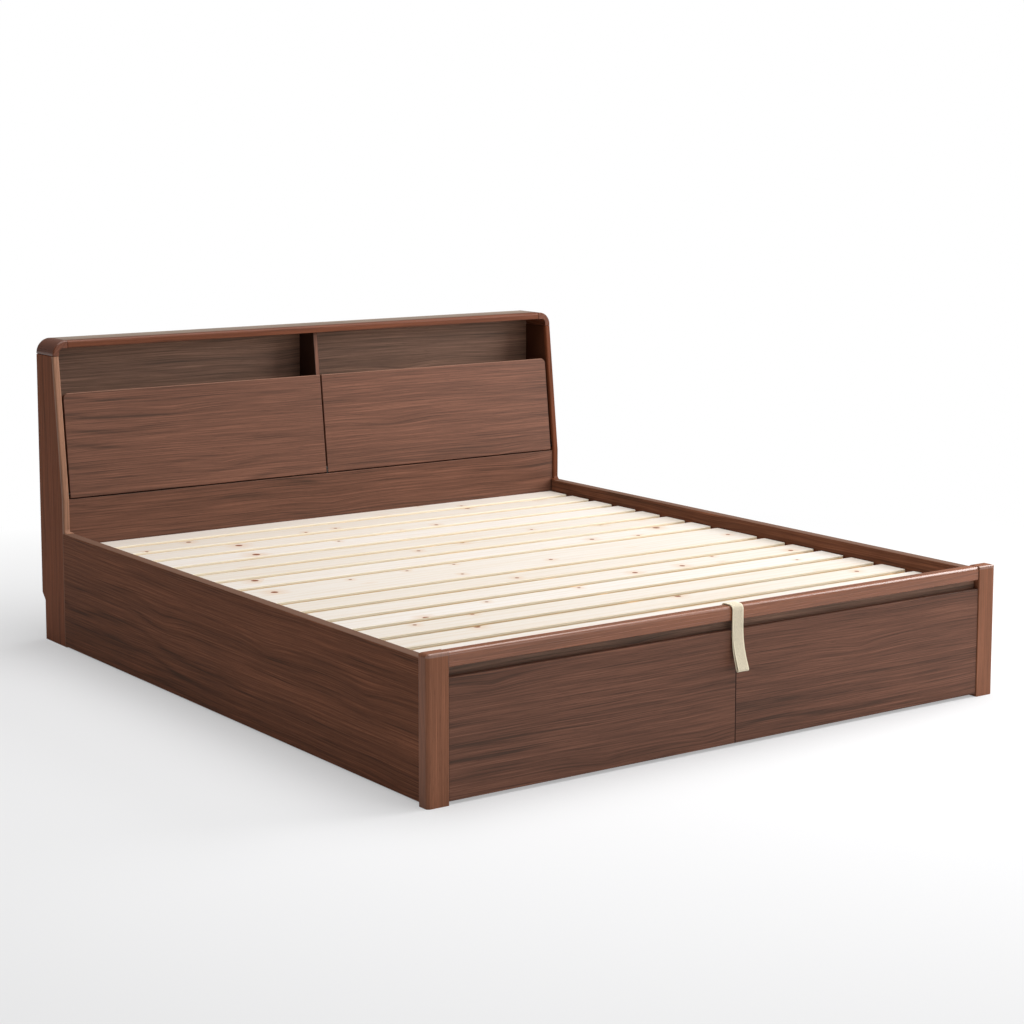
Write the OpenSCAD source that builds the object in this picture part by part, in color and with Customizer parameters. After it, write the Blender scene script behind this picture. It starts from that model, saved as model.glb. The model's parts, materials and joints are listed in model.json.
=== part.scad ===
// Storage platform bed. A slatted base lifts from the foot on two gas struts,
// over a storage box. The headboard leans back and has an open niche above two
// flap doors. The origin lies on the floor under the middle of the bed, +Y points
// to the head and +Z points up. Left is the -X side.

/* [Overall] */
// Width across the foot posts
bed_width = 1900; // [1600:10:2100]
// Length from the front of the foot posts to the back of the headboard
bed_length = 2194; // [2050:2:2400]
// Height of the headboard
headboard_height = 936; // [880:2:1050]

/* [Foot end] */
// Width of a foot post
post_width = 62; // [56:1:80]
// Depth of a foot post
post_depth = 38; // [36:1:46]
// Height of a foot post
post_height = 370; // [366:1:400]
// Radius of a post's upright outer corners
post_round = 9; // [4:1:14]
// Radius along a post's top edges
post_top_round = 5; // [2:1:8]
// Radius of a post's upper outer corner
post_shoulder = 10; // [4:1:14]
// Distance of the foot panels and rail behind the posts' front faces
foot_face_inset = 3; // [1:0.5:6]
// Thickness of the foot panels
foot_panel_thickness = 18; // [15:1:20]
// Height of the foot panels
foot_panel_height = 298.5; // [280:0.5:305]
// Gap between the floor and the foot panels
foot_panel_floor_gap = 8.5; // [4:0.5:14]
// Width of the seams at the ends of the foot panels and the rail
foot_seam = 0.8; // [0.4:0.1:0.9]
// Radius along the long edges of the foot panels
foot_panel_round = 2; // [1:0.5:4]
// Height of the open groove above the foot panels
groove_height = 25; // [15:1:35]
// Height of the foot rail
foot_rail_height = 37; // [32:1:50]
// Radius along the foot rail's upper edges
foot_rail_round = 10; // [5:1:14]
// Thickness of the board behind the foot panels
inner_board_thickness = 18; // [15:1:22]

/* [Side panels] */
// Distance of a side panel in from the outer face of the post
side_inset = 10; // [2:1:14]
// Thickness of a side panel
side_thickness = 32; // [26:1:36]
// Height of the top of the side panels
side_top = 353; // [345:1:362]
// Gap between the floor and the side panels
side_floor_gap = 5; // [3:1:20]
// Radius along a side panel's top edges
side_round = 3; // [1:0.5:8]

/* [Slatted base] */
// Height of the slats' top
slat_top = 313; // [305:1:320]
// Width of a slat
slat_width = 94; // [80:1:100]
// Thickness of a slat
slat_thickness = 15; // [12:1:18]
// Radius along a slat's long edges
slat_round = 2; // [1:0.5:4]
// Number of slats in each of the two slat panels
slats_per_panel = 8; // [6:1:8]
// Gap between the slats' ends and a side panel
slat_side_gap = 6; // [5:0.5:10]
// Gap between the base and the board behind the foot panels
base_foot_gap = 5; // [4:0.5:8]
// Gap between the base and the headboard
base_head_gap = 4; // [3:0.5:8]
// Width of a batten under the slats
batten_width = 30; // [24:1:40]
// Height of a batten under the slats
batten_height = 22; // [20:1:26]
// Distance of the battens in from the ends of a slat panel
batten_end_inset = 12; // [10:1:40]
// Width of the lift frame's steel tubes
tube_width = 30; // [25:1:36]
// Height of the lift frame's steel tubes
tube_height = 25; // [20:1:30]
// Wall of the steel tubes
tube_wall = 2; // [1.5:0.25:3]
// Distance of the lift frame in from the ends of the base
tube_end_inset = 6; // [4:1:12]

/* [Lift mechanism] */
// Angle by which the base lifts
lift_angle = 42; // [30:1:45]
// Distance of the lift pivot from the head end of the base
pivot_from_head = 180; // [150:5:220]
// Diameter of the lift pivot pin
pivot_pin_d = 12; // [10:0.5:14]
// Radius of the ear round the lift pivot
pivot_ear_r = 11.5; // [10:0.5:13]
// Gap between the storage floor and the lift's base plates
base_floor_gap = 9; // [5:0.5:20]
// Angle at the lift pivot between the ends of a strut, when closed
strut_angle = 54; // [52:1:55]
// Diameter of a strut's cylinder
strut_d = 22; // [18:1:24]
// Wall of a strut's cylinder
strut_wall = 1.5; // [1:0.25:2.5]
// Diameter of a strut's rod
rod_d = 8; // [6:1:10]
// Diameter of the studs that hold a strut
stud_d = 8; // [6:1:10]
// Thickness of a strut's end eyes
eye_thickness = 10; // [8:1:12]
// Thickness of the base plate on a side panel
base_plate_thickness = 4; // [3:0.5:5]
// Thickness of the arm on the lift frame
arm_thickness = 5; // [4:0.5:6]
// Gap between a strut and the plates beside it
strut_gap = 4; // [3:0.5:6]
// Diameter of the bolts
bolt_d = 6; // [5:0.5:8]

/* [Headboard] */
// Depth of the headboard at its foot
headboard_depth = 172; // [160:1:190]
// Distance of the headboard in from the outer face of the posts
headboard_inset = 14.5; // [12:0.5:18]
// Thickness of the side boards
side_board = 20; // [18:1:22]
// Height at which the front begins to lean back
lean_start = 457; // [440:1:470]
// Angle by which the front leans back
lean_angle = 6.7; // [4:0.1:8]
// Depth of the solid front strips
strip_depth = 12; // [10:1:14]
// Radius along the front edges of the strips
strip_round = 5; // [2:0.5:7]
// Radius of the concave sweep at the foot of a strip
sweep = 12; // [6:1:16]
// Height of the tip of that sweep
sweep_tip = 1.5; // [0.5:0.5:3]
// Width of a corner block
corner_width = 49; // [48:1:60]
// Height of a corner block
corner_height = 46; // [44:1:56]
// Radius of a corner block's outer curve
corner_radius = 44; // [36:1:44]
// Radius of a corner block's inner curve
corner_inner_radius = 14; // [8:1:16]
// Bevel round the front of a corner block
corner_bevel = 3; // [1:0.5:5]
// Width of the seams beside the corner blocks
corner_seam = 0.9; // [0.3:0.1:0.9]
// Height of the lip on the top board
lip_height = 22; // [18:1:28]
// Depth of the lip on the top board
lip_depth = 28; // [20:1:40]
// Radius along the lip's upper front edge
lip_round = 8; // [4:1:12]
// Depth of the skirting notch at the back
notch_depth = 21; // [15:1:30]
// Height of the skirting notch
notch_height = 145; // [100:5:170]
// Height of the slope at the top of the notch
notch_slope = 22; // [10:1:30]
// Thickness of the back panel
back_thickness = 5; // [3:0.5:8]
// Distance of the back panel in from the side boards' rear edges
back_inset = 1; // [0.5:0.5:4]
// Distance of the doors and the fixed panel behind the strips
face_recess = 7; // [4:0.5:9]
// Thickness of the fixed front panel
front_panel_thickness = 18; // [15:1:20]
// Thickness of the shelf and the compartment floor
shelf_thickness = 16; // [14:1:20]
// Drop of the shelf below the top edge of the doors
shelf_drop = 20; // [10:1:40]
// Thickness of the divider
divider_thickness = 15; // [12:1:20]

/* [Doors] */
// Height of a door along its slope
door_height = 319.5; // [280:0.5:340]
// Thickness of a door
door_thickness = 16; // [15:0.5:17]
// Gap under the doors
door_gap = 4.5; // [4:0.5:6]
// Gap between a door and the side strip
door_side_gap = 8; // [4:0.5:10]
// Gap between the doors
door_middle_gap = 6.6; // [5:0.2:8]
// Radius of a door's upper outer corner
door_corner = 17; // [8:1:30]
// Radius along a door's long edges
door_round = 2.5; // [2:0.5:4]
// Height of the door pivots above a door's lower edge
door_pivot_height = 14; // [13:0.5:18]
// Diameter of the door pivot pins
door_pin_d = 8; // [6:0.5:8]

/* [Storage box] */
// Thickness of the centre board
centre_board = 18; // [15:1:25]
// Thickness of the storage floor
floor_thickness = 9; // [5:1:12]
// Height of the bearers under the storage floor
bearer_height = 30; // [20:1:34]
// Width of a bearer
bearer_width = 40; // [30:1:60]
// Number of bearers on each side
bearer_count = 5; // [3:1:8]
// Width of a side ledger
ledger_width = 30; // [20:1:36]
// Height of a side ledger
ledger_height = 40; // [30:1:50]
// Leg length of a corner bracket
bracket_leg = 60; // [40:1:80]
// Height of a corner bracket
bracket_height = 140; // [80:5:160]
// Height of the corner brackets above the floor
bracket_base = 60; // [50:5:80]
// Thickness of a corner bracket
bracket_thickness = 3; // [2:0.5:4]

/* [Pull strap] */
// Width of the webbing
strap_width = 35; // [25:1:50]
// Thickness of one layer of webbing
strap_thickness = 1.6; // [1.2:0.1:2]
// Length that hangs below the top of the foot rail
strap_drop = 167; // [100:1:220]
// Distance by which the strap's end stands forward
strap_kick = 18; // [5:1:30]
// Half the width of the fold at the strap's end
strap_fold = 5; // [3:0.5:8]
// Clearance between the strap and the foot rail's face
strap_face_gap = 3; // [2.5:0.5:5]
// Clearance between the strap and the foot rail's top
strap_top_gap = 1.2; // [0.8:0.2:3]

/* [Hidden] */
$fn = 48;
eps = 0.01;

// Clearances
pin_gap = 0.05;     // radial, round a hinge pin
seat_gap = 0.3;     // between the base and what carries it
slide_gap = 0.3;    // radial, round a strut's rod and piston
washer_gap = 0.5;   // between turning faces
joint_gap = 0.1;    // in a close joint between boards
head_height = 1.6;  // of a bolt head

// Colours
walnut = "#6b4636";
walnut_dark = "#583a2c";
walnut_solid = "#84503c";
walnut_top = "#8d8071";
pine = "#efe3d0";
batten_wood = "#d9bf98";
board_grey = "#8c8378";
steel_black = "#2e2f31";
zinc = "#b9bcc0";
chrome = "#d5d8dc";
webbing = "#cbbfa4";

// Heights at the foot
foot_panel_top = foot_panel_floor_gap + foot_panel_height;
rail_bottom = foot_panel_top + groove_height;
rail_top = rail_bottom + foot_rail_height;
rail_depth = post_depth - foot_face_inset;
rail_end = bed_width / 2 - post_width - foot_seam;
inner_board_back = foot_face_inset + foot_panel_thickness + inner_board_thickness;

// Heights of the base and the storage floor
slat_bottom = slat_top - slat_thickness;
tube_top = slat_bottom - batten_height;
tube_bottom = tube_top - tube_height;
tube_mid = tube_top - tube_height / 2;
floor_z = bearer_height + floor_thickness;

// Pull strap: its middle line in the YZ plane, measured from the posts' front faces
base_front = inner_board_back + base_foot_gap;
tube_front = base_front + tube_end_inset;
strap_half = strap_thickness + 0.05;
strap_tube_y = tube_front - strap_half - 0.2;
strap_rise_y = base_front - strap_half - 0.2;
strap_fall_y = foot_face_inset - strap_face_gap - strap_half;
strap_over_z = rail_top + strap_top_gap + strap_half;
strap_corners = [
    [strap_tube_y, tube_bottom + 4], [strap_tube_y, tube_top + 2],
    [strap_rise_y, slat_bottom - 4], [strap_rise_y, strap_over_z],
    [strap_fall_y, strap_over_z], [strap_fall_y, rail_top - 0.6 * strap_drop],
    [strap_fall_y - strap_kick, rail_top - strap_drop + strap_fold]
];
strap_bends = [0, 8, 8, 12, 14, 45, 0];

function unit(v) = v / norm(v);
function bend(a, b, c, n) = [for (i = [0:n]) let (t = i / n)
    (1 - t) * (1 - t) * a + 2 * t * (1 - t) * b + t * t * c];
function bent_path(p, r, n) = concat(
    [p[0]],
    [for (i = [1:len(p) - 2])
        each bend(p[i] + r[i] * unit(p[i - 1] - p[i]), p[i], p[i] + r[i] * unit(p[i + 1] - p[i]), n)],
    [p[len(p) - 1]]);
function travel(p, i) = i == 0 ? 0 : travel(p, i - 1) + norm(p[i] - p[i - 1]);
function side_of(p, i) = let (
    a = p[max(i - 1, 0)],
    b = p[min(i + 1, len(p) - 1)],
    d = unit(b - a)) [-d.y, d.x];

strap_path = bent_path(strap_corners, strap_bends, 6);
strap_last = len(strap_path) - 1;
strap_length = travel(strap_path, strap_last);
// The two layers lie together at first and part towards the fold
function layers_apart(i) = let (s = (travel(strap_path, i) / strap_length - 0.62) / 0.38)
    s <= 0 ? 0 : (strap_fold - strap_half) * s * s;
function strap_edge(i, side, inner) = strap_path[i]
    + side * (layers_apart(i) + (inner ? -strap_thickness + strap_half : strap_half)) * side_of(strap_path, i);
function strap_cap(r) = let (d = unit(strap_path[strap_last] - strap_path[strap_last - 1]))
    [for (k = [-3:3]) strap_path[strap_last] + r * [
        d.x * cos(k * 30) + d.y * sin(k * 30),
        d.y * cos(k * 30) - d.x * sin(k * 30)]];
function strap_ring(first, inner) = concat(
    [for (i = [first:strap_last - 1]) strap_edge(i, 1, inner)],
    strap_cap(strap_fold - (inner ? strap_thickness : 0)),
    [for (i = [strap_last - 1:-1:first]) strap_edge(i, -1, inner)]);
strap_outline = strap_ring(0, false);
strap_split = [for (i = [0:strap_last]) if (layers_apart(i) > 0.4) i][0];
strap_reach_out = round(-10 * min([for (p = strap_outline) p.x])) / 10;

// Lengthwise places
foot_y = (strap_reach_out - bed_length) / 2;
head_y = foot_y + bed_length;
board_y = foot_y + inner_board_back;
front_y = head_y - headboard_depth;
panel_face_y = front_y + face_recess;
base_foot_y = foot_y + base_front;
base_head_y = panel_face_y - base_head_gap;
slat_panel_length = (base_head_y - base_foot_y) / 2;
slat_pitch = (slat_panel_length - slat_width) / (slats_per_panel - 1);

// Places across the bed, from the middle to the right
half_width = bed_width / 2;
side_out = half_width - side_inset;
inner_x = side_out - side_thickness;
slat_end = inner_x - slat_side_gap;
hb_out = half_width - headboard_inset;
hb_in = hb_out - side_board;

// Lift mechanism, side by side from the side panel inwards
plate_in = inner_x - base_plate_thickness;
strut_x = plate_in - strut_gap - strut_d / 2;
arm_out = strut_x - strut_d / 2 - strut_gap - 1;
tube_out = arm_out - arm_thickness;
tube_in = tube_out - tube_width;
pin_r = pivot_pin_d / 2;
nut_height = 6;
nut_r = 9;
batten_out = tube_out - washer_gap - nut_height - 5.5;

// Lift pivot P, moving strut end M and fixed strut end S. P is as far from M as
// from S, so a strut turns by half the angle of the base and its rod stays in line.
// That distance follows from S, which lies as low as the storage floor lets it.
pivot = [base_head_y - pivot_from_head, slat_bottom - pivot_ear_r - washer_gap];
plate_r = 15;
moving_drop = pivot.y - tube_mid;
fixed_drop = pivot.y - floor_z - base_floor_gap - plate_r;
moving_run = (fixed_drop - moving_drop * cos(strut_angle)) / sin(strut_angle);
strut_reach = norm([moving_run, moving_drop]);
moving_end = pivot - [moving_run, moving_drop];
fixed_end = pivot - [moving_run * cos(strut_angle) - moving_drop * sin(strut_angle), fixed_drop];
strut_closed = norm(moving_end - fixed_end);
strut_open = 2 * strut_reach * sin((strut_angle + lift_angle) / 2);
strut_tilt = atan2(fixed_end.x - moving_end.x, moving_end.y - fixed_end.y);
eye_r = stud_d / 2 + 7;
plug_length = 6;
guide_length = 8;
piston_length = 10;
cylinder_foot = eye_r + 3;
cylinder_length = strut_open - strut_closed + plug_length + guide_length + piston_length + 14;
cylinder_top = cylinder_foot + cylinder_length;
rod_length = strut_open - cylinder_top + guide_length + piston_length + 4;

// Headboard heights
seam_z = headboard_height - corner_height;
lip_z = headboard_height - lip_height;
panel_top = lean_start - 2;
stop_depth = face_recess + door_thickness + 1.5;
function bend_z(depth) = lean_start - depth * tan(lean_angle / 2);
function front_at(z, depth) = front_y + (z < bend_z(depth)
    ? depth
    : depth / cos(lean_angle) + (z - lean_start) * tan(lean_angle));
top_front_y = front_at(seam_z, 0);
back_y = head_y - back_inset - back_thickness;

// Doors, in the leaning frame: Y is the depth behind the strips, Z runs up the slope
door_bottom = panel_top - lean_start + door_gap;
door_top = door_bottom + door_height;
door_outer = hb_in - door_side_gap;
door_length = door_outer - door_middle_gap / 2;
door_pivot = [face_recess + door_thickness / 2, door_bottom + door_pivot_height];
door_sweep_r = norm([door_thickness / 2, door_pivot_height]) + 1;
shelf_top = lean_start + door_top * cos(lean_angle) - shelf_drop;
door_pin_r = door_pin_d / 2;
door_pin_depth = 18;

// Storage box
ledger_foot_y = board_y + 3;
ledger_head_y = moving_end.x - 50;
centre_head_y = pivot.x - 40;

// --- General shapes ---

module left() mirror([1, 0, 0]) children();

// A profile drawn in the YZ plane, drawn out across the bed
module along_x(length) rotate([90, 0, 90]) linear_extrude(length, center = true) children();

// The same, from one place across the bed to another
module across(from, to) translate([(from + to) / 2, 0, 0]) along_x(abs(to - from)) children();

// A profile drawn in the XZ plane, drawn out along the bed
module along_y(from, to) translate([0, to, 0]) rotate([90, 0, 0]) linear_extrude(to - from) children();

// The quarter of a square outside its inscribed arc
module corner_waste(r) difference() {
    translate([-1, -1]) square(r + 1);
    translate([r, r]) circle(r);
}

// Rectangle with its own radius at each corner: lower left, lower right, upper right, upper left
module soft_rect(size, radii) difference() {
    square(size);
    if (radii[0] > 0) corner_waste(radii[0]);
    if (radii[1] > 0) translate([size.x, 0]) mirror([1, 0]) corner_waste(radii[1]);
    if (radii[2] > 0) translate(size) rotate(180) corner_waste(radii[2]);
    if (radii[3] > 0) translate([0, size.y]) mirror([0, 1]) corner_waste(radii[3]);
}

// A bar with round ends from a to b
module link(a, b, r) {
    translate(a) circle(r);
    translate(b) circle(r);
    translate(a) rotate(atan2(b.y - a.y, b.x - a.x)) translate([0, -r]) square([norm(b - a), 2 * r]);
}

// The headboard's leaning frame
module leaning() translate([0, front_y, lean_start]) rotate([-lean_angle, 0, 0]) children();

// --- Foot end ---

module foot_post() color(walnut_solid) intersection() {
    linear_extrude(post_height)
        translate([half_width - post_width, foot_y])
            soft_rect([post_width, post_depth], [2, post_round, 3, 2]);
    along_y(foot_y - 1, foot_y + post_depth + 1)
        translate([half_width - post_width, 0])
            soft_rect([post_width, post_height], [0, 0, post_shoulder, 1.5]);
    across(half_width - post_width - 1, half_width + 1)
        translate([foot_y, 0])
            soft_rect([post_depth, post_height], [0, 0, post_top_round, post_top_round]);
}

module foot_panel() color(walnut) intersection() {
    across(foot_seam / 2, rail_end)
        translate([foot_y + foot_face_inset, foot_panel_floor_gap])
            soft_rect([foot_panel_thickness, foot_panel_height],
                [foot_panel_round, 0, 0, foot_panel_round]);
    linear_extrude(foot_panel_top + 1)
        translate([foot_seam / 2, foot_y + foot_face_inset])
            soft_rect([rail_end - foot_seam / 2, foot_panel_thickness], [1.2, 1.2, 0, 0]);
}

module foot_inner_board() color(walnut_dark)
    along_x(2 * (half_width - post_width))
        translate([board_y - inner_board_thickness, foot_panel_floor_gap])
            square([inner_board_thickness, rail_bottom - foot_panel_floor_gap]);

module foot_rail() color(walnut_solid)
    along_x(2 * rail_end)
        translate([foot_y + foot_face_inset, rail_bottom])
            soft_rect([rail_depth, foot_rail_height],
                [3, 1, foot_rail_round * 0.7, foot_rail_round]);

// --- Sides ---

module side_panel() color(walnut_dark)
    along_y(foot_y + post_depth + joint_gap, front_y)
        translate([inner_x, side_floor_gap])
            soft_rect([side_thickness, side_top - side_floor_gap], [1, 1, side_round, side_round]);

module side_ledger() color(batten_wood)
    along_y(ledger_foot_y, ledger_head_y)
        translate([inner_x - ledger_width, slat_bottom - seat_gap - ledger_height])
            soft_rect([ledger_width, ledger_height], [3, 0, 0, 2]);

// --- Headboard ---

// A V groove round the outside of the seam under a corner block
module seam_groove() {
    along_y(front_y, head_y + 1)
        translate([hb_out, seam_z]) rotate(45) square(2, center = true);
    across(hb_in - 1, hb_out + 1)
        translate([top_front_y, seam_z]) rotate(45) square(1, center = true);
}

module headboard_side() color(walnut_dark) difference() {
    across(hb_in, hb_out) polygon([
        [front_at(0, strip_depth), 0],
        [front_at(0, strip_depth), bend_z(strip_depth)],
        [front_at(seam_z, strip_depth), seam_z - corner_seam],
        [head_y, seam_z - corner_seam],
        [head_y, notch_height],
        [head_y - notch_depth, notch_height - notch_slope],
        [head_y - notch_depth, 0]
    ]);
    seam_groove();
}

module strip_section() soft_rect([side_board, strip_depth], [strip_round, strip_round, 0, 0]);

sweep_z = side_top + sweep_tip + sweep;

// The strip's section, turned forward a quarter about a line across the bed
module strip_foot() intersection() {
    translate([hb_out, front_y - sweep, sweep_z]) rotate([-90, 0, 0]) rotate([0, -90, 0])
        rotate_extrude(angle = 90)
            translate([sweep, 0]) soft_rect([strip_depth, side_board], [strip_round, 0, 0, strip_round]);
    translate([hb_in - 1, front_y - sweep - 1, side_top]) cube([side_board + 2, sweep + strip_depth + 2, sweep_z]);
}

// A hollow curve that widens the foot of a strip to the side panel's inner face. It stops
// short of the fixed panel, and a little behind the strip's own front.
flare = hb_in + strip_round - inner_x;
flare_step = 0.3;

module strip_flare() intersection() {
    along_y(front_y - sweep, panel_face_y - washer_gap)
        translate([inner_x, side_top]) difference() {
            square([flare, sweep_tip + flare]);
            translate([0, sweep_tip + flare]) circle(flare);
        }
    across(inner_x - 1, hb_out) difference() {
        translate([front_y - sweep, side_top]) square([sweep + face_recess, sweep_tip + flare]);
        translate([front_y - sweep, sweep_z]) circle(sweep + flare_step);
    }
}

// All that lies below, or above, the plane that halves the bend in the strips
module half_bend(above) translate([0, front_y, lean_start]) rotate([-lean_angle / 2, 0, 0])
    translate([hb_in - 1, -headboard_depth, above ? 0 : -headboard_height])
        cube([side_board + 2, 2 * headboard_depth, headboard_height]);

module headboard_strip() color(walnut_solid) difference() {
    union() {
        translate([hb_in, front_y, 0]) linear_extrude(side_top) strip_section();
        strip_foot();
        strip_flare();
        across(hb_in, hb_out)
            translate([front_y + strip_round + 1, side_top / 2])
                square([strip_depth - strip_round - 1, sweep_z - side_top / 2 + 1]);
        intersection() {
            translate([hb_in, front_y, sweep_z]) linear_extrude(lean_start - sweep_z) strip_section();
            half_bend(false);
        }
        intersection() {
            leaning() translate([hb_in, 0, -strip_depth])
                linear_extrude(headboard_height - lean_start + 2 * strip_depth) strip_section();
            half_bend(true);
        }
    }
    translate([hb_in - 1, front_y - 1, seam_z - corner_seam])
        cube([side_board + 2, headboard_depth, headboard_height]);
    seam_groove();
}

// Front outline of a corner block, from its outer face inwards and up from the seam
module corner_outline() difference() {
    soft_rect([corner_width, corner_height], [0, 0, 0, corner_radius]);
    translate([side_board, -1])
        square([corner_width, corner_height - lip_height - corner_inner_radius + 1]);
    translate([side_board + corner_inner_radius, -1])
        square([corner_width, corner_height - lip_height + 1]);
    translate([side_board + corner_inner_radius, corner_height - lip_height - corner_inner_radius])
        circle(corner_inner_radius);
}

// Wedge that takes the front edge off, in a plane through the block's outline
module bevel_section() translate([0, -eps])
    polygon([[-corner_bevel, 0], [eps, 0], [eps, corner_bevel + eps]]);

module headboard_corner() color(walnut_solid) difference() {
    along_y(top_front_y, head_y)
        translate([hb_out, seam_z]) mirror([1, 0]) corner_outline();
    // Bevel round the curve, down the side and along the top
    translate([hb_out - corner_radius, top_front_y, headboard_height - corner_radius])
        rotate([-90, 0, 0]) rotate([0, 0, -90])
            rotate_extrude(angle = 90) translate([corner_radius, 0]) bevel_section();
    translate([hb_out, top_front_y, seam_z - 1])
        linear_extrude(corner_height - corner_radius + 1) bevel_section();
    across(hb_out - corner_width - 1, hb_out - corner_radius)
        translate([top_front_y, headboard_height])
            polygon([[-eps, -corner_bevel], [-eps, eps], [corner_bevel, eps]]);
    joint_bevel(hb_out - corner_width);
    seam_groove();
}

// Small bevel on the upright front edge beside the joint of a corner block and the lip
module joint_bevel(x) translate([x, top_front_y, lip_z - 1])
    linear_extrude(lip_height + 2) rotate(45) square(1.4, center = true);

top_length = 2 * (hb_out - corner_width - corner_seam);

module headboard_lip() color(walnut_solid) difference() {
    along_x(top_length)
        translate([top_front_y, lip_z]) soft_rect([lip_depth, lip_height], [2, 0, 0, lip_round]);
    for (end = [-1, 1]) joint_bevel(end * top_length / 2);
}

module headboard_top() color(walnut_top)
    along_x(top_length)
        translate([top_front_y + lip_depth + joint_gap, lip_z])
            soft_rect([head_y - top_front_y - lip_depth - joint_gap, lip_height], [0, 1.5, 1.5, 0]);

// Upright board whose front edge leans back with the strips
module leaning_board(depth, low, high) polygon([
    for (z = [low, bend_z(depth), high]) if (z >= low) [front_at(z, depth), z],
    [back_y, high],
    [back_y, low]
]);

module headboard_divider_upper() color(walnut)
    along_x(divider_thickness) leaning_board(stop_depth, shelf_top, lip_z);

module headboard_divider_lower() color(walnut_dark) difference() {
    along_x(divider_thickness) leaning_board(stop_depth, panel_top, shelf_top - shelf_thickness);
    leaning() translate([0, door_pivot.x, door_pivot.y]) rotate([0, 90, 0])
        cylinder(h = divider_thickness + 2, r = door_sweep_r, center = true);
}

module headboard_shelf() color(walnut_dark)
    along_x(2 * hb_in)
        translate([front_at(shelf_top, stop_depth), shelf_top - shelf_thickness])
            soft_rect([back_y - front_at(shelf_top, stop_depth), shelf_thickness], [1.5, 0, 0, 1.5]);

module headboard_floor() color(walnut_dark)
    along_x(2 * hb_in)
        translate([panel_face_y + front_panel_thickness, panel_top - shelf_thickness])
            square([back_y - panel_face_y - front_panel_thickness, shelf_thickness]);

module headboard_front_panel() color(walnut)
    along_x(2 * hb_in - 1)
        translate([panel_face_y, side_floor_gap])
            soft_rect([front_panel_thickness, panel_top - side_floor_gap], [0, 0, 0, 2]);

module headboard_back_panel() color(walnut_dark)
    along_y(back_y, back_y + back_thickness)
        translate([-hb_in, notch_height])
            soft_rect([2 * hb_in, lip_z - notch_height],
                [0, 0, corner_inner_radius, corner_inner_radius]);

module headboard_rear_rail() color(board_grey)
    along_x(2 * hb_in)
        translate([head_y - notch_depth - inner_board_thickness, side_floor_gap])
            square([inner_board_thickness, notch_height - notch_slope - side_floor_gap]);

// --- Doors ---

module door() color(walnut) leaning() difference() {
    intersection() {
        translate([door_middle_gap / 2, face_recess + door_thickness, door_bottom]) rotate([90, 0, 0])
            linear_extrude(door_thickness) soft_rect([door_length, door_height], [1, 1, door_corner, 2]);
        across(0, door_outer + 1)
            translate([face_recess, door_bottom])
                soft_rect([door_thickness, door_height], [door_round, door_round, door_round, door_round]);
    }
    for (end = [door_middle_gap / 2, door_outer])
        translate([end, door_pivot.x, door_pivot.y]) rotate([0, 90, 0])
            cylinder(h = 2 * door_pin_depth, r = door_pin_r + pin_gap, center = true);
}

// A plate and pin on each side board, and a blade with two pins between the doors
module door_pivots() color(zinc) leaning() {
    for (side = [0, 1])
        mirror([side, 0, 0]) door_side_pivot();
    across(-door_middle_gap / 4, door_middle_gap / 4) intersection() {
        link(door_pivot, [door_pivot.x, -20], door_thickness / 2 - 1);
        rotate(lean_angle) translate([-50, (panel_top - lean_start)]) square(100);
    }
    translate([0, door_pivot.x, door_pivot.y]) rotate([0, 90, 0])
        cylinder(h = door_middle_gap + 2 * (door_pin_depth - 2), r = door_pin_r, center = true);
}

module door_side_pivot() {
    across(hb_in - 2, hb_in) link(door_pivot, door_pivot + [0, 14], door_thickness / 2 - 1);
    translate([door_outer - door_pin_depth + 2, door_pivot.x, door_pivot.y]) rotate([0, 90, 0])
        cylinder(h = hb_in - door_outer + door_pin_depth - 2, r = door_pin_r);
}

// --- Storage box ---

module centre_board() color(walnut_dark)
    translate([-centre_board / 2, board_y, 0])
        cube([centre_board, centre_head_y - board_y, tube_bottom - seat_gap]);

module storage_floor() color(board_grey)
    translate([centre_board / 2, board_y, bearer_height])
        cube([inner_x - centre_board / 2, panel_face_y - board_y - joint_gap, floor_thickness]);

module floor_bearers() color(batten_wood)
    for (side = [0, 1], i = [0:bearer_count - 1])
        mirror([side, 0, 0])
            translate([centre_board / 2, board_y + i * (panel_face_y - board_y - bearer_width) / (bearer_count - 1), 0])
                cube([inner_x - centre_board / 2, bearer_width, bearer_height]);

// Places of the bolts in a bracket's leg: along the leg and up
bracket_holes = [for (z = [0.2, 0.8]) [bracket_leg * 0.6, bracket_base + bracket_height * z]];

// Both legs run from the inner corner, the second one towards the other end of the box
module bracket_at(y, flip) translate([inner_x, y, 0]) mirror([1, 0, 0]) mirror([0, flip, 0]) children();

module bracket_leg_shape() difference() {
    translate([0, bracket_base]) soft_rect([bracket_leg, bracket_height], [0, 8, 8, 0]);
    for (hole = bracket_holes) translate(hole) circle(bolt_d / 2 + 0.1);
}

module corner_bracket() {
    along_y(0, bracket_thickness) bracket_leg_shape();
    across(0, bracket_thickness) bracket_leg_shape();
}

module corner_bracket_bolts() for (hole = bracket_holes) {
    translate([hole.x, 0, hole.y]) rotate([-90, 0, 0]) bolt(bracket_thickness);
    translate([0, hole.x, hole.y]) rotate([0, 90, 0]) bolt(bracket_thickness);
}

// A low-headed bolt whose shank fills a plate's hole; the head lies on the plate
module bolt(plate) {
    cylinder(h = plate, d = bolt_d);
    translate([0, 0, plate]) cylinder(h = head_height, d = bolt_d * 1.9);
}

module at_box_corners() for (side = [0, 1]) mirror([side, 0, 0]) {
    bracket_at(board_y, 0) children();
    bracket_at(panel_face_y, 1) children();
}

module corner_brackets() color(zinc) at_box_corners() corner_bracket();

module bracket_bolts() color(steel_black) at_box_corners() corner_bracket_bolts();

// --- Lift mechanism ---

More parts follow.
